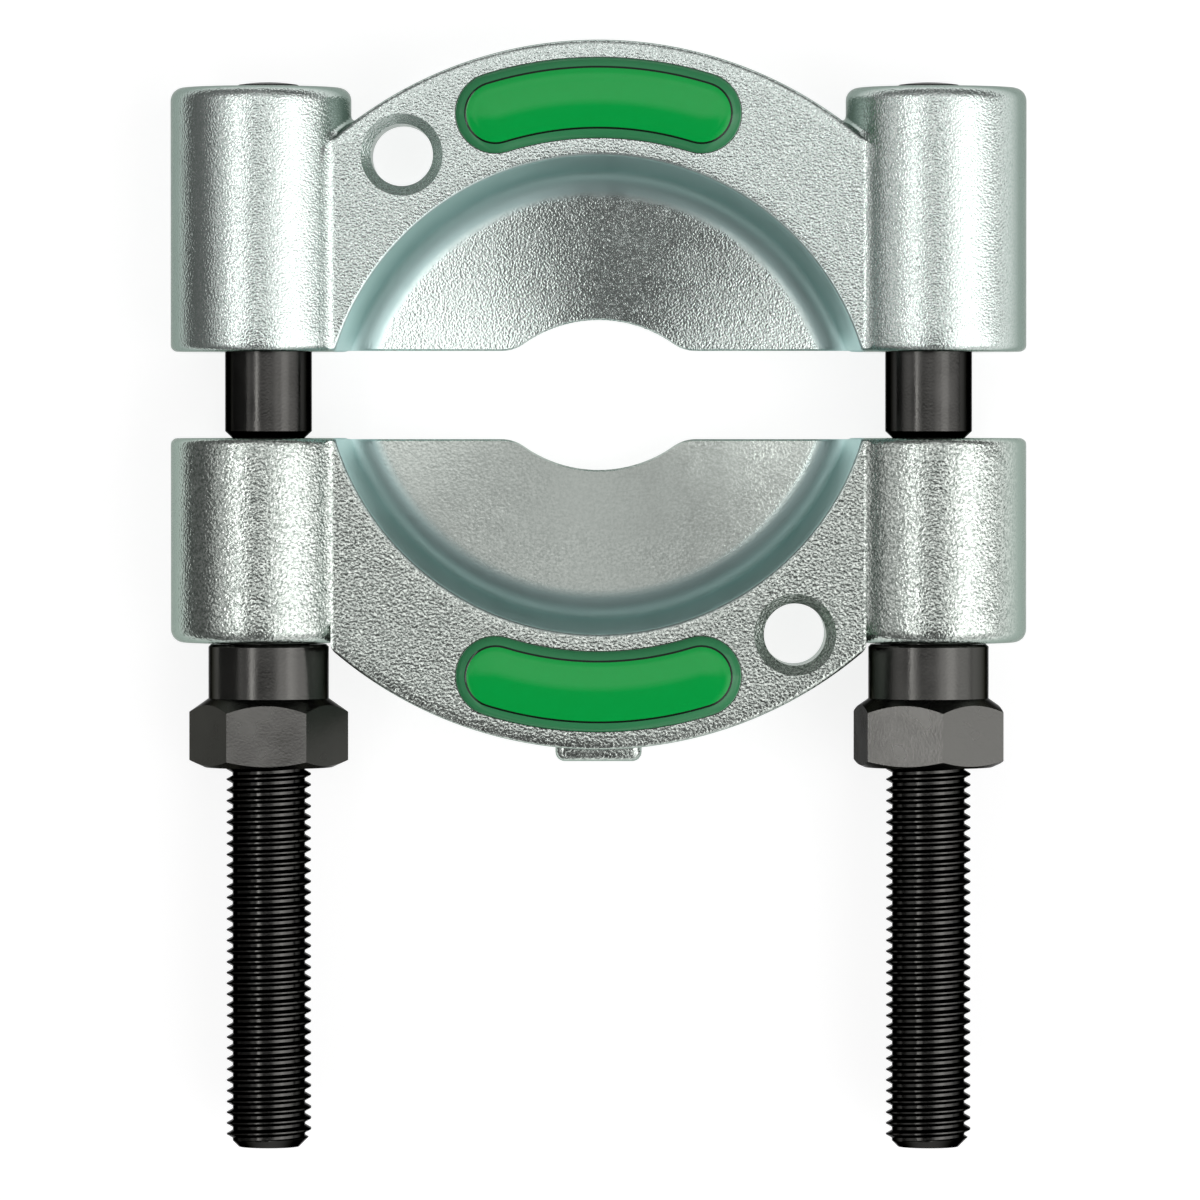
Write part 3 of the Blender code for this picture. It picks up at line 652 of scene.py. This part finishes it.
DENT_DETAIL = 1.5
DENT_NOISE_ROUGHNESS = 0.45
WAVE_SHARE = 0.3
SPECK_SCALE = 0.9
SPECK_DETAIL = 1.0
SPECK_NOISE_ROUGHNESS = 0.7
SPECK_RANGE = (0.34, 0.66)

grain_group, grain_in, grain_out = node_group(
    "metal_grain",
    {"Vector": "Vector", "Dents per metre": "Float", "Waves per metre": "Float"},
    {"Height": "Float", "Tone": "Float", "Specks": "Float"},
)
grain_place, dent_scale, wave_scale = grain_in.outputs[:3]
dents = add_noise(grain_group, grain_place, dent_scale, DENT_DETAIL, DENT_NOISE_ROUGHNESS)
waves = add_noise(grain_group, grain_place, wave_scale)
grain_height = add_math(grain_group, "ADD", dents, add_math(grain_group, "MULTIPLY", waves, WAVE_SHARE))
speck_scale = add_math(grain_group, "MULTIPLY", dent_scale, SPECK_SCALE)
specks = add_noise(grain_group, grain_place, speck_scale, SPECK_DETAIL, SPECK_NOISE_ROUGHNESS)
grain_group.links.new(grain_height, grain_out.inputs["Height"])
grain_group.links.new(waves, grain_out.inputs["Tone"])
grain_group.links.new(add_range(grain_group, specks, *SPECK_RANGE, 0, 1), grain_out.inputs["Specks"])


def start_material(name, metallic):
    """A material with a Principled shader, its tree, the shader and the piece's own coordinates."""
    material = bpy.data.materials.new(name)
    material.use_nodes = True
    tree = material.node_tree
    shader = tree.nodes["Principled BSDF"]
    shader.inputs["Metallic"].default_value = metallic
    coordinates = tree.nodes.new("ShaderNodeTexCoord").outputs["Object"]
    return material, tree, shader, coordinates


def add_grain(tree, vector, dents_per_metre, waves_per_metre):
    """The grain group placed in a material, with its own sizes."""
    node = tree.nodes.new("ShaderNodeGroup")
    node.node_tree = grain_group
    tree.links.new(vector, node.inputs["Vector"])
    node.inputs["Dents per metre"].default_value = dents_per_metre
    node.inputs["Waves per metre"].default_value = waves_per_metre
    return node


def add_bump(tree, shader, height, distance):
    """A bump node between a height and the shader's normal. The distance is in metres."""
    node = tree.nodes.new("ShaderNodeBump")
    node.inputs["Strength"].default_value = 1
    node.inputs["Distance"].default_value = distance
    tree.links.new(height, node.inputs["Height"])
    tree.links.new(node.outputs["Normal"], shader.inputs["Normal"])


def read_mark(tree, name):
    """Reads one of the piece's own attributes."""
    node = tree.nodes.new("ShaderNodeAttribute")
    node.attribute_name = name
    return node.outputs["Fac"]


EVEN_BLEND = 0.5


# Painted shade: a share that grows with the slant at which the surface is seen.
def painted_slant_shade(tree, low, high):
    """Painted shade by slant: none where the surface is seen straight on, and one where it is seen at a
    slant.

    At an even blend, Layer Weight's facing value is one less the cosine of the angle.
    """
    facing_weight = tree.nodes.new("ShaderNodeLayerWeight")
    facing_weight.inputs["Blend"].default_value = EVEN_BLEND
    return add_range(tree, facing_weight.outputs["Facing"], low, high, 0, 1)


ZINC_WAVES_PER_METRE = 420
ZINC_EDGE_TINT = (0.55, 0.60, 0.57, 1)
# Where the painted slant shade begins and where it is full, as Layer Weight facing values.
ZINC_SLANT_SHADE = (0.2, 0.6)
PATCHES_PER_METRE = 75
PATCH_RANGE = (0.38, 0.62)
LEAST_PATCH = 0.7
WALL_SMOOTHNESS = 0.85
MIDDLE_HEIGHT = 0.65
MIDDLE_SPECK = 0.5
# Painted blue reflection on the dish's wall, seen straight on and at a slant.
WALL_PAINTED_BLUE = (0.44, 0.58, 0.57)
WALL_PAINTED_BLUE_SLANTED = (0.62, 0.84, 0.83)
CLOUDS_PER_METRE = 60
CLOUD_DETAIL = 3
CLOUD_RANGE = (0.35, 0.65)
BLASTED_ROUGHNESS = (0.13, 0.24)
WALL_ROUGHER = 0.24


def zinc_plate(name, dents_per_metre, dent_depth, smoother_dish, dull, bright, slant_shade_colour):
    """Zinc plate over a blasted forging, by the size and depth of its dents and its dull and bright colour.

    Painted shade darkens it where it is seen at a slant, and a painted blue reflection colours the dish's
    wall. There, and by the share given as smoother_dish on the dish's floor, the die's own smooth face
    shows.
    """
    material, tree, shader, place = start_material(name, 1)
    shader.inputs["Specular Tint"].default_value = ZINC_EDGE_TINT
    grain = add_grain(tree, place, dents_per_metre, ZINC_WAVES_PER_METRE)

    in_dish = read_mark(tree, "in_dish")
    on_wall = read_mark(tree, "on_dish_wall")
    patch_noise = add_noise(tree, place, PATCHES_PER_METRE)
    patches = add_range(tree, patch_noise, *PATCH_RANGE, LEAST_PATCH * smoother_dish, smoother_dish)
    smooth_floor = add_math(tree, "MULTIPLY", in_dish, patches)
    smooth_wall = add_math(tree, "MULTIPLY", on_wall, WALL_SMOOTHNESS)
    blasted = add_math(tree, "SUBTRACT", 1, add_math(tree, "MAXIMUM", smooth_floor, smooth_wall))

    height = add_math(tree, "SUBTRACT", grain.outputs["Height"], MIDDLE_HEIGHT)
    add_bump(tree, shader, add_math(tree, "MULTIPLY", height, blasted), dent_depth)
    speck = add_math(tree, "SUBTRACT", grain.outputs["Specks"], MIDDLE_SPECK)
    speck = add_math(tree, "ADD", add_math(tree, "MULTIPLY", speck, blasted), MIDDLE_SPECK)
    speckled = add_mix(tree, speck, dull, bright)

    # Painted shade darkens the colour at a slant, and a painted blue reflection colours the dish's wall.
    shade_by_slant = painted_slant_shade(tree, *ZINC_SLANT_SHADE)
    slant_shaded = add_mix(tree, shade_by_slant, speckled, slant_shade_colour)
    painted_blue_wall = add_mix(tree, shade_by_slant, WALL_PAINTED_BLUE, WALL_PAINTED_BLUE_SLANTED)
    tree.links.new(add_mix(tree, on_wall, slant_shaded, painted_blue_wall), shader.inputs["Base Color"])

    cloud = add_noise(tree, place, CLOUDS_PER_METRE, CLOUD_DETAIL)
    uneven = add_math(tree, "MULTIPLY", add_math(tree, "ADD", grain.outputs["Tone"], cloud), 0.5)
    roughness = add_range(tree, uneven, *CLOUD_RANGE, *BLASTED_ROUGHNESS)
    satin = add_math(tree, "MULTIPLY", on_wall, WALL_ROUGHER)
    tree.links.new(add_math(tree, "ADD", roughness, satin), shader.inputs["Roughness"])
    return material


# Both jaws bear the same zinc plate. The moving jaw's far darker dull colour is painted shade, a shaded copy
# of the fixed jaw's zinc.
zinc_plates = {
    "fixed_jaw": zinc_plate(
        "zinc_lit_copy", dents_per_metre=4200, dent_depth=0.065 * MM, smoother_dish=0.15,
        dull=(0.64, 0.73, 0.69), bright=(0.88, 0.94, 0.91), slant_shade_colour=(0.30, 0.365, 0.335),
    ),
    "moving_jaw": zinc_plate(
        "zinc_shaded_copy", dents_per_metre=3300, dent_depth=0.075 * MM, smoother_dish=0.85,
        dull=(0.34, 0.38, 0.35), bright=(0.84, 0.89, 0.84), slant_shade_colour=(0.36, 0.43, 0.39),
    ),
}

for jaw_name, boss_length in (("fixed_jaw", FIXED_BOSS_LENGTH), ("moving_jaw", MOVING_BOSS_LENGTH)):
    is_moving = jaw_name == "moving_jaw"
    jaw = make_piece(jaw_name + "_forging", [jaw_shell(boss_length)])
    if is_moving:
        shape_with(jaw, "UNION", make_piece("pad", [pad_shell()]))
    shape_with(jaw, "DIFFERENCE", make_piece("cuts", jaw_cuts(boss_length)))
    mark_dish(jaw)
    place_jaw_part(jaw, is_moving)
    shade(jaw, zinc_plates[jaw_name], JAW_SHARP_ANGLE)
    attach(jaw, "sliding_jaw" if is_moving else "base")
    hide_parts(jaw_name)

# The labels. Each is a printed foil under a clear domed resin, glued into its jaw's pocket: a green field
# inside a thin black line, and a duller green margin outside it, partly print and partly a painted
# reflection of the dome's sloping edge. The field is left plain.

LABEL_THICKNESS = 1.7 * MM
LABEL_SEAT = 0.15 * MM
LABEL_CROWN = 0.1 * MM
DOME_WIDTH = 2.3 * MM
DOME_RISE = 1.15 * MM
DOME_STEPS = 18
CROWN_STEPS = 8
LABEL_SHARP_ANGLE = math.radians(40)
LINE_OUTER = 1.0 * MM
LINE_INNER = 1.28 * MM
PRINT_BLUR = 0.05 * MM
PRINT_CLOUDS_PER_METRE = 900
FIELD_GREENS = ((0.0, 0.43, 0.065), (0.0, 0.46, 0.075))
# The margin's duller green: partly print, partly painted reflection of the dome's sloping edge.
MARGIN_AND_REFLECTION_GREENS = ((0.045, 0.27, 0.11), (0.05, 0.29, 0.115))
LINE_BLACK = (0.004, 0.012, 0.006)
FOIL_ROUGHNESS = 0.25
FOIL_SPECULAR = 0.05
RESIN_ROUGHNESS = 0.03
RESIN_IOR = 1.35


def label_shell():
    """The foil's flat back, a short straight edge, the dome's oval shoulder, and a faint crown.

    The shoulder draws in by one less the cosine of a turn, and rises by its sine. The crown is a parabola.
    """
    bottom = HALF_PLATE - POCKET_DEPTH + LABEL_SEAT
    crown_edge = bottom + LABEL_THICKNESS - LABEL_CROWN
    turn = np.linspace(0, QUARTER, DOME_STEPS + 1)
    shoulder = LABEL_HALF_WIDTH - DOME_WIDTH * (1 - np.cos(turn))
    inward = np.linspace(1, 0, CROWN_STEPS + 1)[1:]
    width = np.concatenate([[0, LABEL_HALF_WIDTH], shoulder, shoulder[-1] * inward])
    height = np.concatenate([
        [bottom, bottom], crown_edge - DOME_RISE * (1 - np.sin(turn)),
        bottom + LABEL_THICKNESS - LABEL_CROWN * inward**2,
    ])
    return grid_shell(slot_shell(width, height))


def mark_edge(piece):
    """The distance in from a label's edge: half its width less the distance from its middle line."""
    x, y, _ = corner_places(piece)
    nearest = np.clip(np.arctan2(x, y + RIM_CENTRE_BACK), -LABEL_HALF_ANGLE, LABEL_HALF_ANGLE)
    to_middle = np.hypot(
        x - LAND_RADIUS * np.sin(nearest), y + RIM_CENTRE_BACK - LAND_RADIUS * np.cos(nearest)
    )
    add_mark(piece, "from_edge", LABEL_HALF_WIDTH - to_middle)


label_material, label_tree, label_shader, label_place = start_material("printed_label", 0)
label_shader.inputs["Roughness"].default_value = FOIL_ROUGHNESS
label_shader.inputs["Specular IOR Level"].default_value = FOIL_SPECULAR
label_shader.inputs["Coat Weight"].default_value = 1
label_shader.inputs["Coat Roughness"].default_value = RESIN_ROUGHNESS
label_shader.inputs["Coat IOR"].default_value = RESIN_IOR
from_edge = read_mark(label_tree, "from_edge")
inside_line = add_range(label_tree, from_edge, LINE_INNER - PRINT_BLUR, LINE_INNER, 0, 1)
outside_line = add_range(label_tree, from_edge, LINE_OUTER, LINE_OUTER + PRINT_BLUR, 1, 0)
print_cloud = add_noise(label_tree, label_place, PRINT_CLOUDS_PER_METRE)
field = add_mix(label_tree, print_cloud, *FIELD_GREENS)
margin_and_reflection = add_mix(label_tree, print_cloud, *MARGIN_AND_REFLECTION_GREENS)
lined = add_mix(label_tree, inside_line, LINE_BLACK, field)
label_tree.links.new(add_mix(label_tree, outside_line, lined, margin_and_reflection), label_shader.inputs["Base Color"])

for label_name, body in (("label_fixed", "base"), ("label_moving", "sliding_jaw")):
    label = make_piece(label_name + "_dome", [label_shell()])
    mark_edge(label)
    place_jaw_part(label, body == "sliding_jaw")
    shade(label, label_material, LABEL_SHARP_ANGLE)
    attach(label, body)
    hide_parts(label_name)

# The studs. Each is turned from steel bar, with a smooth shank in the jaws, an undercut and a rolled
# M10 x 1.25 right-hand thread, and is black oxided. Its head end is pressed into the fixed jaw.

SHANK_RADIUS = 5.05 * MM
CREST_RADIUS = 4.92 * MM
ROOT_RADIUS = 4.22 * MM
PITCH = 1.25 * MM
CREST_SHARE = 0.125
ROOT_SHARE = 0.25
UNDERCUT_RADIUS = 4.2 * MM
SHANK_END = 9.2 * MM
SHANK_TAPER = 0.8 * MM
UNDERCUT_LENGTH = 1.2 * MM
STUD_END = 92.4 * MM
STUD_HEAD = FIXED_BOSS_LENGTH + 0.65 * MM
HEAD_CHAMFER = 1.6 * MM
HEAD_DOME = 0.3 * MM
TIP_CHAMFER = 1.4 * MM
THREAD_START = -SHANK_END - SHANK_TAPER - UNDERCUT_LENGTH
THREAD_END = -STUD_END
TURN_STEPS = 64
HEAD_DOME_STEPS = 6
ROWS_PER_PITCH = 16
STUD_SHARP_ANGLE = math.radians(30)

OXIDE_DENTS_PER_METRE = 3800
OXIDE_WAVES_PER_METRE = 260
OXIDE_DENT_DEPTH = 0.008 * MM
OXIDE_EDGE_TINT = (0.25, 0.25, 0.25, 1)
OXIDE_TONE_RANGE = (0.3, 0.7)
# Where the painted slant shade begins and where it is full.
OXIDE_SLANT_SHADE = (0.1, 0.45)


def thread_radius(along, turn, root, crest):
    """The thread's profile by phase: along over the pitch, less the turn, which makes it right handed.

    A quarter of the pitch is root, an eighth is crest, and the flanks between are straight.
    """
    phase = np.abs((along / PITCH - turn / (2 * math.pi)) % 1 - 0.5) * 2
    flank = np.clip((phase - CREST_SHARE) / (1 - ROOT_SHARE - CREST_SHARE), 0, 1)
    return crest - (crest - root) * flank


def thread_shell(start, end, root, crest, limit, first_turn, steps):
    """A threaded stretch from start down to end. Its rows follow the helix, and are held between the ends.

    Each row lies a part of a pitch below the last, and rises by a pitch in one turn. The radius is the
    thread's by its phase, and then what limit makes of it near the ends.
    """
    turn = first_turn + np.linspace(0, 2 * math.pi, steps + 1)
    last_row = ROWS_PER_PITCH * (math.ceil((start - end) / PITCH) + 2)
    row = np.arange(-ROWS_PER_PITCH, last_row)[:, None]
    top = math.ceil(start / PITCH) * PITCH
    along = np.clip(top - PITCH * row / ROWS_PER_PITCH + PITCH * turn / (2 * math.pi), end, start)
    radius = limit(along, thread_radius(along, turn, root, crest))
    return np.stack([radius * np.sin(turn), along, radius * np.cos(turn)], axis=-1)


def stud_limit(along, radius):
    """The thread fades into the undercut at its top and into the chamfer at the stud's tip."""
    run_in = UNDERCUT_RADIUS + (THREAD_START - along)
    run_out = CREST_RADIUS - TIP_CHAMFER + (along - THREAD_END)
    return np.minimum(radius, np.minimum(run_in, run_out))


def stud_shells():
    """The plain upper part turned from head to undercut, the thread, and the flat tip.

    The head is domed by a parabola.
    """
    dome = SHANK_RADIUS - HEAD_CHAMFER
    out = np.linspace(0, 1, HEAD_DOME_STEPS + 1)
    head_r = np.concatenate([dome * out, [SHANK_RADIUS, SHANK_RADIUS, UNDERCUT_RADIUS, UNDERCUT_RADIUS]])
    below_head = STUD_HEAD - HEAD_DOME
    head_y = np.concatenate([
        STUD_HEAD - HEAD_DOME * out**2,
        [below_head - HEAD_CHAMFER, -SHANK_END, -SHANK_END - SHANK_TAPER, THREAD_START],
    ])
    tip = turned([CREST_RADIUS - TIP_CHAMFER, 0], [THREAD_END, THREAD_END], TURN_STEPS)
    thread = thread_shell(THREAD_START, THREAD_END, ROOT_RADIUS, CREST_RADIUS, stud_limit, 0, TURN_STEPS)
    upper = turned(head_r, head_y, TURN_STEPS)
    return [grid_shell(upper), grid_shell(thread, closed=False), grid_shell(tip)]


def black_oxide(name, smooth, rough, dull, bright, slant_shade_colour, drawn=None):
    """Black oxide on turned steel, by its roughness from and to, and its dull and bright grey.

    Painted shade turns the grey to the slant shade colour at a slant. Where drawn is given, as a height
    along the studs and how much paler and rougher the bar's own drawn flats are below it, the grey and the
    roughness rise there.
    """
    material, tree, shader, place = start_material(name, 1)
    shader.inputs["Specular Tint"].default_value = OXIDE_EDGE_TINT
    grain = add_grain(tree, place, OXIDE_DENTS_PER_METRE, OXIDE_WAVES_PER_METRE)
    add_bump(tree, shader, grain.outputs["Height"], OXIDE_DENT_DEPTH)
    grey = add_mix(tree, grain.outputs["Tone"], dull, bright)
    roughness = add_range(tree, grain.outputs["Tone"], *OXIDE_TONE_RANGE, smooth, rough)
    if drawn:
        edge_y, paler, rougher = drawn
        parts = tree.nodes.new("ShaderNodeSeparateXYZ")
        tree.links.new(place, parts.inputs[0])
        below = add_math(tree, "LESS_THAN", parts.outputs["Y"], edge_y)
        pale_dull = [paler * level for level in dull]
        pale_bright = [paler * level for level in bright]
        pale_grey = add_mix(tree, grain.outputs["Tone"], pale_dull, pale_bright)
        grey = add_mix(tree, below, grey, pale_grey)
        roughness = add_math(tree, "ADD", roughness, add_math(tree, "MULTIPLY", below, rougher))
    # Painted shade: the grey darkens where the steel is seen at a slant.
    shade_by_slant = painted_slant_shade(tree, *OXIDE_SLANT_SHADE)
    tree.links.new(add_mix(tree, shade_by_slant, grey, slant_shade_colour), shader.inputs["Base Color"])
    tree.links.new(roughness, shader.inputs["Roughness"])
    return material


stud_black = black_oxide(
    "stud_black", smooth=0.13, rough=0.22,
    dull=(0.055, 0.054, 0.051), bright=(0.1, 0.098, 0.093), slant_shade_colour=(0.02, 0.02, 0.019),
)

for side, stud_name in ((-1, "stud_left"), (1, "stud_right")):
    stud = make_piece(stud_name + "_turned", stud_shells())
    stud.data.transform(Matrix.Translation((side * STUD_X, FIXED_FACE_Y, AXIS_HEIGHT)))
    shade(stud, stud_black, STUD_SHARP_ANGLE)
    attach(stud, "base")
    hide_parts(stud_name)

# The collar nuts. Each is turned in one piece from 16 mm hexagon bar, black oxided: a plain collar that
# bears on the moving jaw's boss, a chamfer that cuts the six flats in arcs, and a thread to fit the stud.

COLLAR_RADIUS = 7.0 * MM
COLLAR_LENGTH = 6.3 * MM
COLLAR_CHAMFER = 0.3 * MM
HALF_FLATS = 8.0 * MM
NUT_LENGTH = 14.3 * MM
NUT_TOP = nut_high.y - FIXED_FACE_Y
TOP_CONE_SLOPE = 1.4237
END_CONE_SLOPE = 2.205
END_FACE_RADIUS = 7.438 * MM
NUT_MOUTH = 5.72 * MM
NUT_CLEARANCE = 0.1 * MM
NUT_TURNS = {-1: math.radians(30), 1: math.radians(8.7)}
NUT_STEPS = 96
NUT_SHARP_ANGLE = math.radians(20)
FLATS_PALER = 2.3
FLATS_ROUGHER = 0.05


def hexagon_radius(turn, corner_turn):
    """The hexagon's radius: half the flats over the cosine of the turn from the middle of a flat."""
    sector = math.pi / 3
    from_flat = (turn - corner_turn) % sector - sector / 2
    return HALF_FLATS / np.cos(from_flat)


def nut_limit(along, radius):
    """The nut's thread opens into a chamfered mouth at each end."""
    from_end = np.minimum(NUT_TOP - along, along - NUT_TOP + NUT_LENGTH)
    return np.maximum(radius, NUT_MOUTH - from_end)


def nut_shells(corner_turn):
    """The outside from mouth to mouth, row by row, and the thread inside.

    Each chamfer is a cone. It meets the hexagon where the hexagon's radius lies on the cone.
    """
    turn = corner_turn + np.linspace(0, 2 * math.pi, NUT_STEPS, endpoint=False)
    hexagon = hexagon_radius(turn, corner_turn)
    top_cut = COLLAR_LENGTH + (hexagon - COLLAR_RADIUS) / TOP_CONE_SLOPE
    end_cut = NUT_LENGTH - (hexagon - END_FACE_RADIUS) / END_CONE_SLOPE
    ring = np.ones(NUT_STEPS)
    radius = np.stack([
        NUT_MOUTH * ring, (COLLAR_RADIUS - COLLAR_CHAMFER) * ring,
        COLLAR_RADIUS * ring, COLLAR_RADIUS * ring,
        hexagon, hexagon, END_FACE_RADIUS * ring, NUT_MOUTH * ring,
    ])
    depth = np.stack([
        0 * ring, 0 * ring, COLLAR_CHAMFER * ring, COLLAR_LENGTH * ring,
        top_cut, end_cut, NUT_LENGTH * ring, NUT_LENGTH * ring,
    ])
    outside = np.stack([radius * np.sin(turn), NUT_TOP - depth, radius * np.cos(turn)], axis=-1)
    inside = thread_shell(
        NUT_TOP, NUT_TOP - NUT_LENGTH, ROOT_RADIUS + NUT_CLEARANCE, CREST_RADIUS + NUT_CLEARANCE,
        nut_limit, corner_turn, NUT_STEPS,
    )
    return [grid_shell(outside), grid_shell(inside, closed=False)]


nut_black = black_oxide(
    "nut_black", smooth=0.16, rough=0.24,
    dull=(0.07, 0.069, 0.065), bright=(0.11, 0.108, 0.102), slant_shade_colour=(0.075, 0.075, 0.07),
    drawn=(nut_high.y - COLLAR_LENGTH, FLATS_PALER, FLATS_ROUGHER),
)

for side, nut_name in ((-1, "nut_left"), (1, "nut_right")):
    nut = make_piece(nut_name + "_turned", nut_shells(NUT_TURNS[side]))
    nut.data.transform(Matrix.Translation((side * STUD_X, FIXED_FACE_Y, AXIS_HEIGHT)))
    shade(nut, nut_black, NUT_SHARP_ANGLE)
    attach(nut, "left_nut" if side < 0 else "right_nut")
    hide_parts(nut_name)

# The floor is a plain white sheet, and the light is that of a small studio: a wide soft box over the right
# side, a narrow one over the left, and a room whose pale and dark bands show in the metal.

FLOOR_COLOUR = (0.9, 0.9, 0.9)
SEEN_FLOOR_COLOUR = (0.4, 0.4, 0.4)
SEEN_FLOOR_LIGHT = 0.8
FLOOR_SPECULAR = 0.1
MATT_ROUGHNESS = 0.9
FLOOR_HALF_WIDTH = 2.0
FLOOR_DROP = 0.02 * MM


def matt_sheet(name, x, y, z):
    """A flat sheet of the room by the x, y and z of its four corners, in two rows, with a matt material."""
    sheet = make_piece(name, [grid_shell(np.stack([x, y, z], axis=-1), closed=False)])
    material, tree, shader, _ = start_material(name, 0)
    shader.inputs["Roughness"].default_value = MATT_ROUGHNESS
    sheet.data.materials.append(material)
    return sheet, tree, shader


edge = FLOOR_HALF_WIDTH * np.array([-1, 1])
floor_x, floor_y = np.meshgrid(edge, edge)
floor, floor_tree, floor_shader = matt_sheet("floor_sheet", floor_x, floor_y, 0 * floor_x - FLOOR_DROP)
floor_shader.inputs["Specular IOR Level"].default_value = FLOOR_SPECULAR
floor_shader.inputs["Emission Color"].default_value = (1, 1, 1, 1)
seen_by = floor_tree.nodes.new("ShaderNodeLightPath").outputs
through_glass_or_gloss = add_math(
    floor_tree, "MAXIMUM", seen_by["Is Glossy Ray"], seen_by["Is Transmission Ray"]
)
seen = add_math(floor_tree, "MAXIMUM", seen_by["Is Camera Ray"], through_glass_or_gloss)
floor_tree.links.new(
    add_mix(floor_tree, seen, FLOOR_COLOUR, SEEN_FLOOR_COLOUR), floor_shader.inputs["Base Color"]
)
floor_tree.links.new(
    add_math(floor_tree, "MULTIPLY", seen, SEEN_FLOOR_LIGHT), floor_shader.inputs["Emission Strength"]
)

# Brightness of the room by the angle from overhead, in degrees, positive towards +X: one row for the
# half of the room beyond the studs' heads, and one for the half on the threads' side.

HEAD_SIDE = {
    -90: 0.08, -82: 0.1, -72: 0.8, -64: 1.15, -52: 1.15, -44: 0.5, -34: 0.7, -14: 1.0,
    3: 1.45, 16: 1.1, 40: 0.65, 70: 0.8, 90: 0.7,
}
THREAD_SIDE = {
    -90: 0.08, -76: 0.35, -56: 0.45, -38: 0.25, -34: 1.6, -25: 1.6, -20: 0.1, 8: 0.1,
    14: 0.5, 23: 1.85, 48: 1.95, 53: 1.0, 58: 1.8, 78: 1.8, 90: 1.2,
}

# Where the two rows meet overhead, and how the room dims beyond the heads and towards both of its ends:
# from and to by the angle along the studs, and then the share of the light before and after.
ROWS_MEET = (math.radians(-2), math.radians(1.5))
HEADS_DIM = (math.radians(9), math.radians(17), 1, 0.46)
ENDS_DIM = (math.radians(30), math.radians(60), 1, 0.4)

world = bpy.data.worlds.new("studio_room")
bpy.context.scene.world = world
world.use_nodes = True
room = world.node_tree
direction = room.nodes.new("ShaderNodeSeparateXYZ")
room.links.new(room.nodes.new("ShaderNodeTexCoord").outputs["Generated"], direction.inputs[0])
across_angle = add_math(room, "ARCTAN2", direction.outputs["X"], direction.outputs["Z"])
along_angle = add_math(room, "ARCTAN2", direction.outputs["Y"], direction.outputs["Z"])


def room_row(bands):
    """A colour ramp over the angle across the room, from brightness by degrees."""
    ramp = room.nodes.new("ShaderNodeValToRGB")
    room.links.new(add_range(room, across_angle, -QUARTER, QUARTER, 0, 1), ramp.inputs["Fac"])
    steps = ramp.color_ramp.elements
    while len(steps) < len(bands):
        steps.new(0.5)
    for step, (degrees, brightness) in zip(steps, bands.items()):
        step.position = (degrees + 90) / 180
        step.color = (brightness, brightness, brightness, 1)
    return ramp.outputs["Color"]


heads_half = add_range(room, along_angle, *ROWS_MEET, 0, 1)
rows = add_mix(room, heads_half, room_row(THREAD_SIDE), room_row(HEAD_SIDE))
from_overhead = add_math(room, "ABSOLUTE", along_angle)
dimmed = add_math(
    room, "MULTIPLY", add_range(room, along_angle, *HEADS_DIM), add_range(room, from_overhead, *ENDS_DIM)
)
room.links.new(add_math(room, "MULTIPLY", rows, dimmed), room.nodes["Background"].inputs["Strength"])
room.nodes["Background"].inputs["Color"].default_value = (1, 1, 1, 1)


def soft_box(name, place, across, along, power):
    """A rectangular soft light that faces the part, by its size across the studs and along them."""
    light = bpy.data.lights.new(name, "AREA")
    light.shape = "RECTANGLE"
    light.size = along
    light.size_y = across
    light.energy = power
    lamp = bpy.data.objects.new(name, light)
    lamp.location = place
    lamp.rotation_euler = (-Vector(place)).to_track_quat("-Z", "Y").to_euler()
    bpy.context.scene.collection.objects.link(lamp)


soft_box("right_box", place=(0.62, 0.15, 0.66), across=0.34, along=0.6, power=0.55)
soft_box("left_box", place=(-0.46, 0.15, 0.82), across=0.08, along=0.6, power=0.45)

# A dark card stands low to the left, out of the picture. It is only there for the metal to reflect.

CARD_X = -85 * MM
CARD_HALF_LENGTH = 300 * MM
CARD_HEIGHT = 43 * MM
CARD_GREY = (0.2, 0.2, 0.2, 1)

card_y, card_z = np.meshgrid(
    np.array([-CARD_HALF_LENGTH, CARD_HALF_LENGTH]), np.array([-FLOOR_DROP, CARD_HEIGHT])
)
card, _, card_shader = matt_sheet("black_card", 0 * card_y + CARD_X, card_y, card_z)
card_shader.inputs["Base Color"].default_value = CARD_GREY
card.visible_camera = False
card.visible_diffuse = False
card.visible_shadow = False

bpy.context.scene.view_settings.view_transform = "Standard"
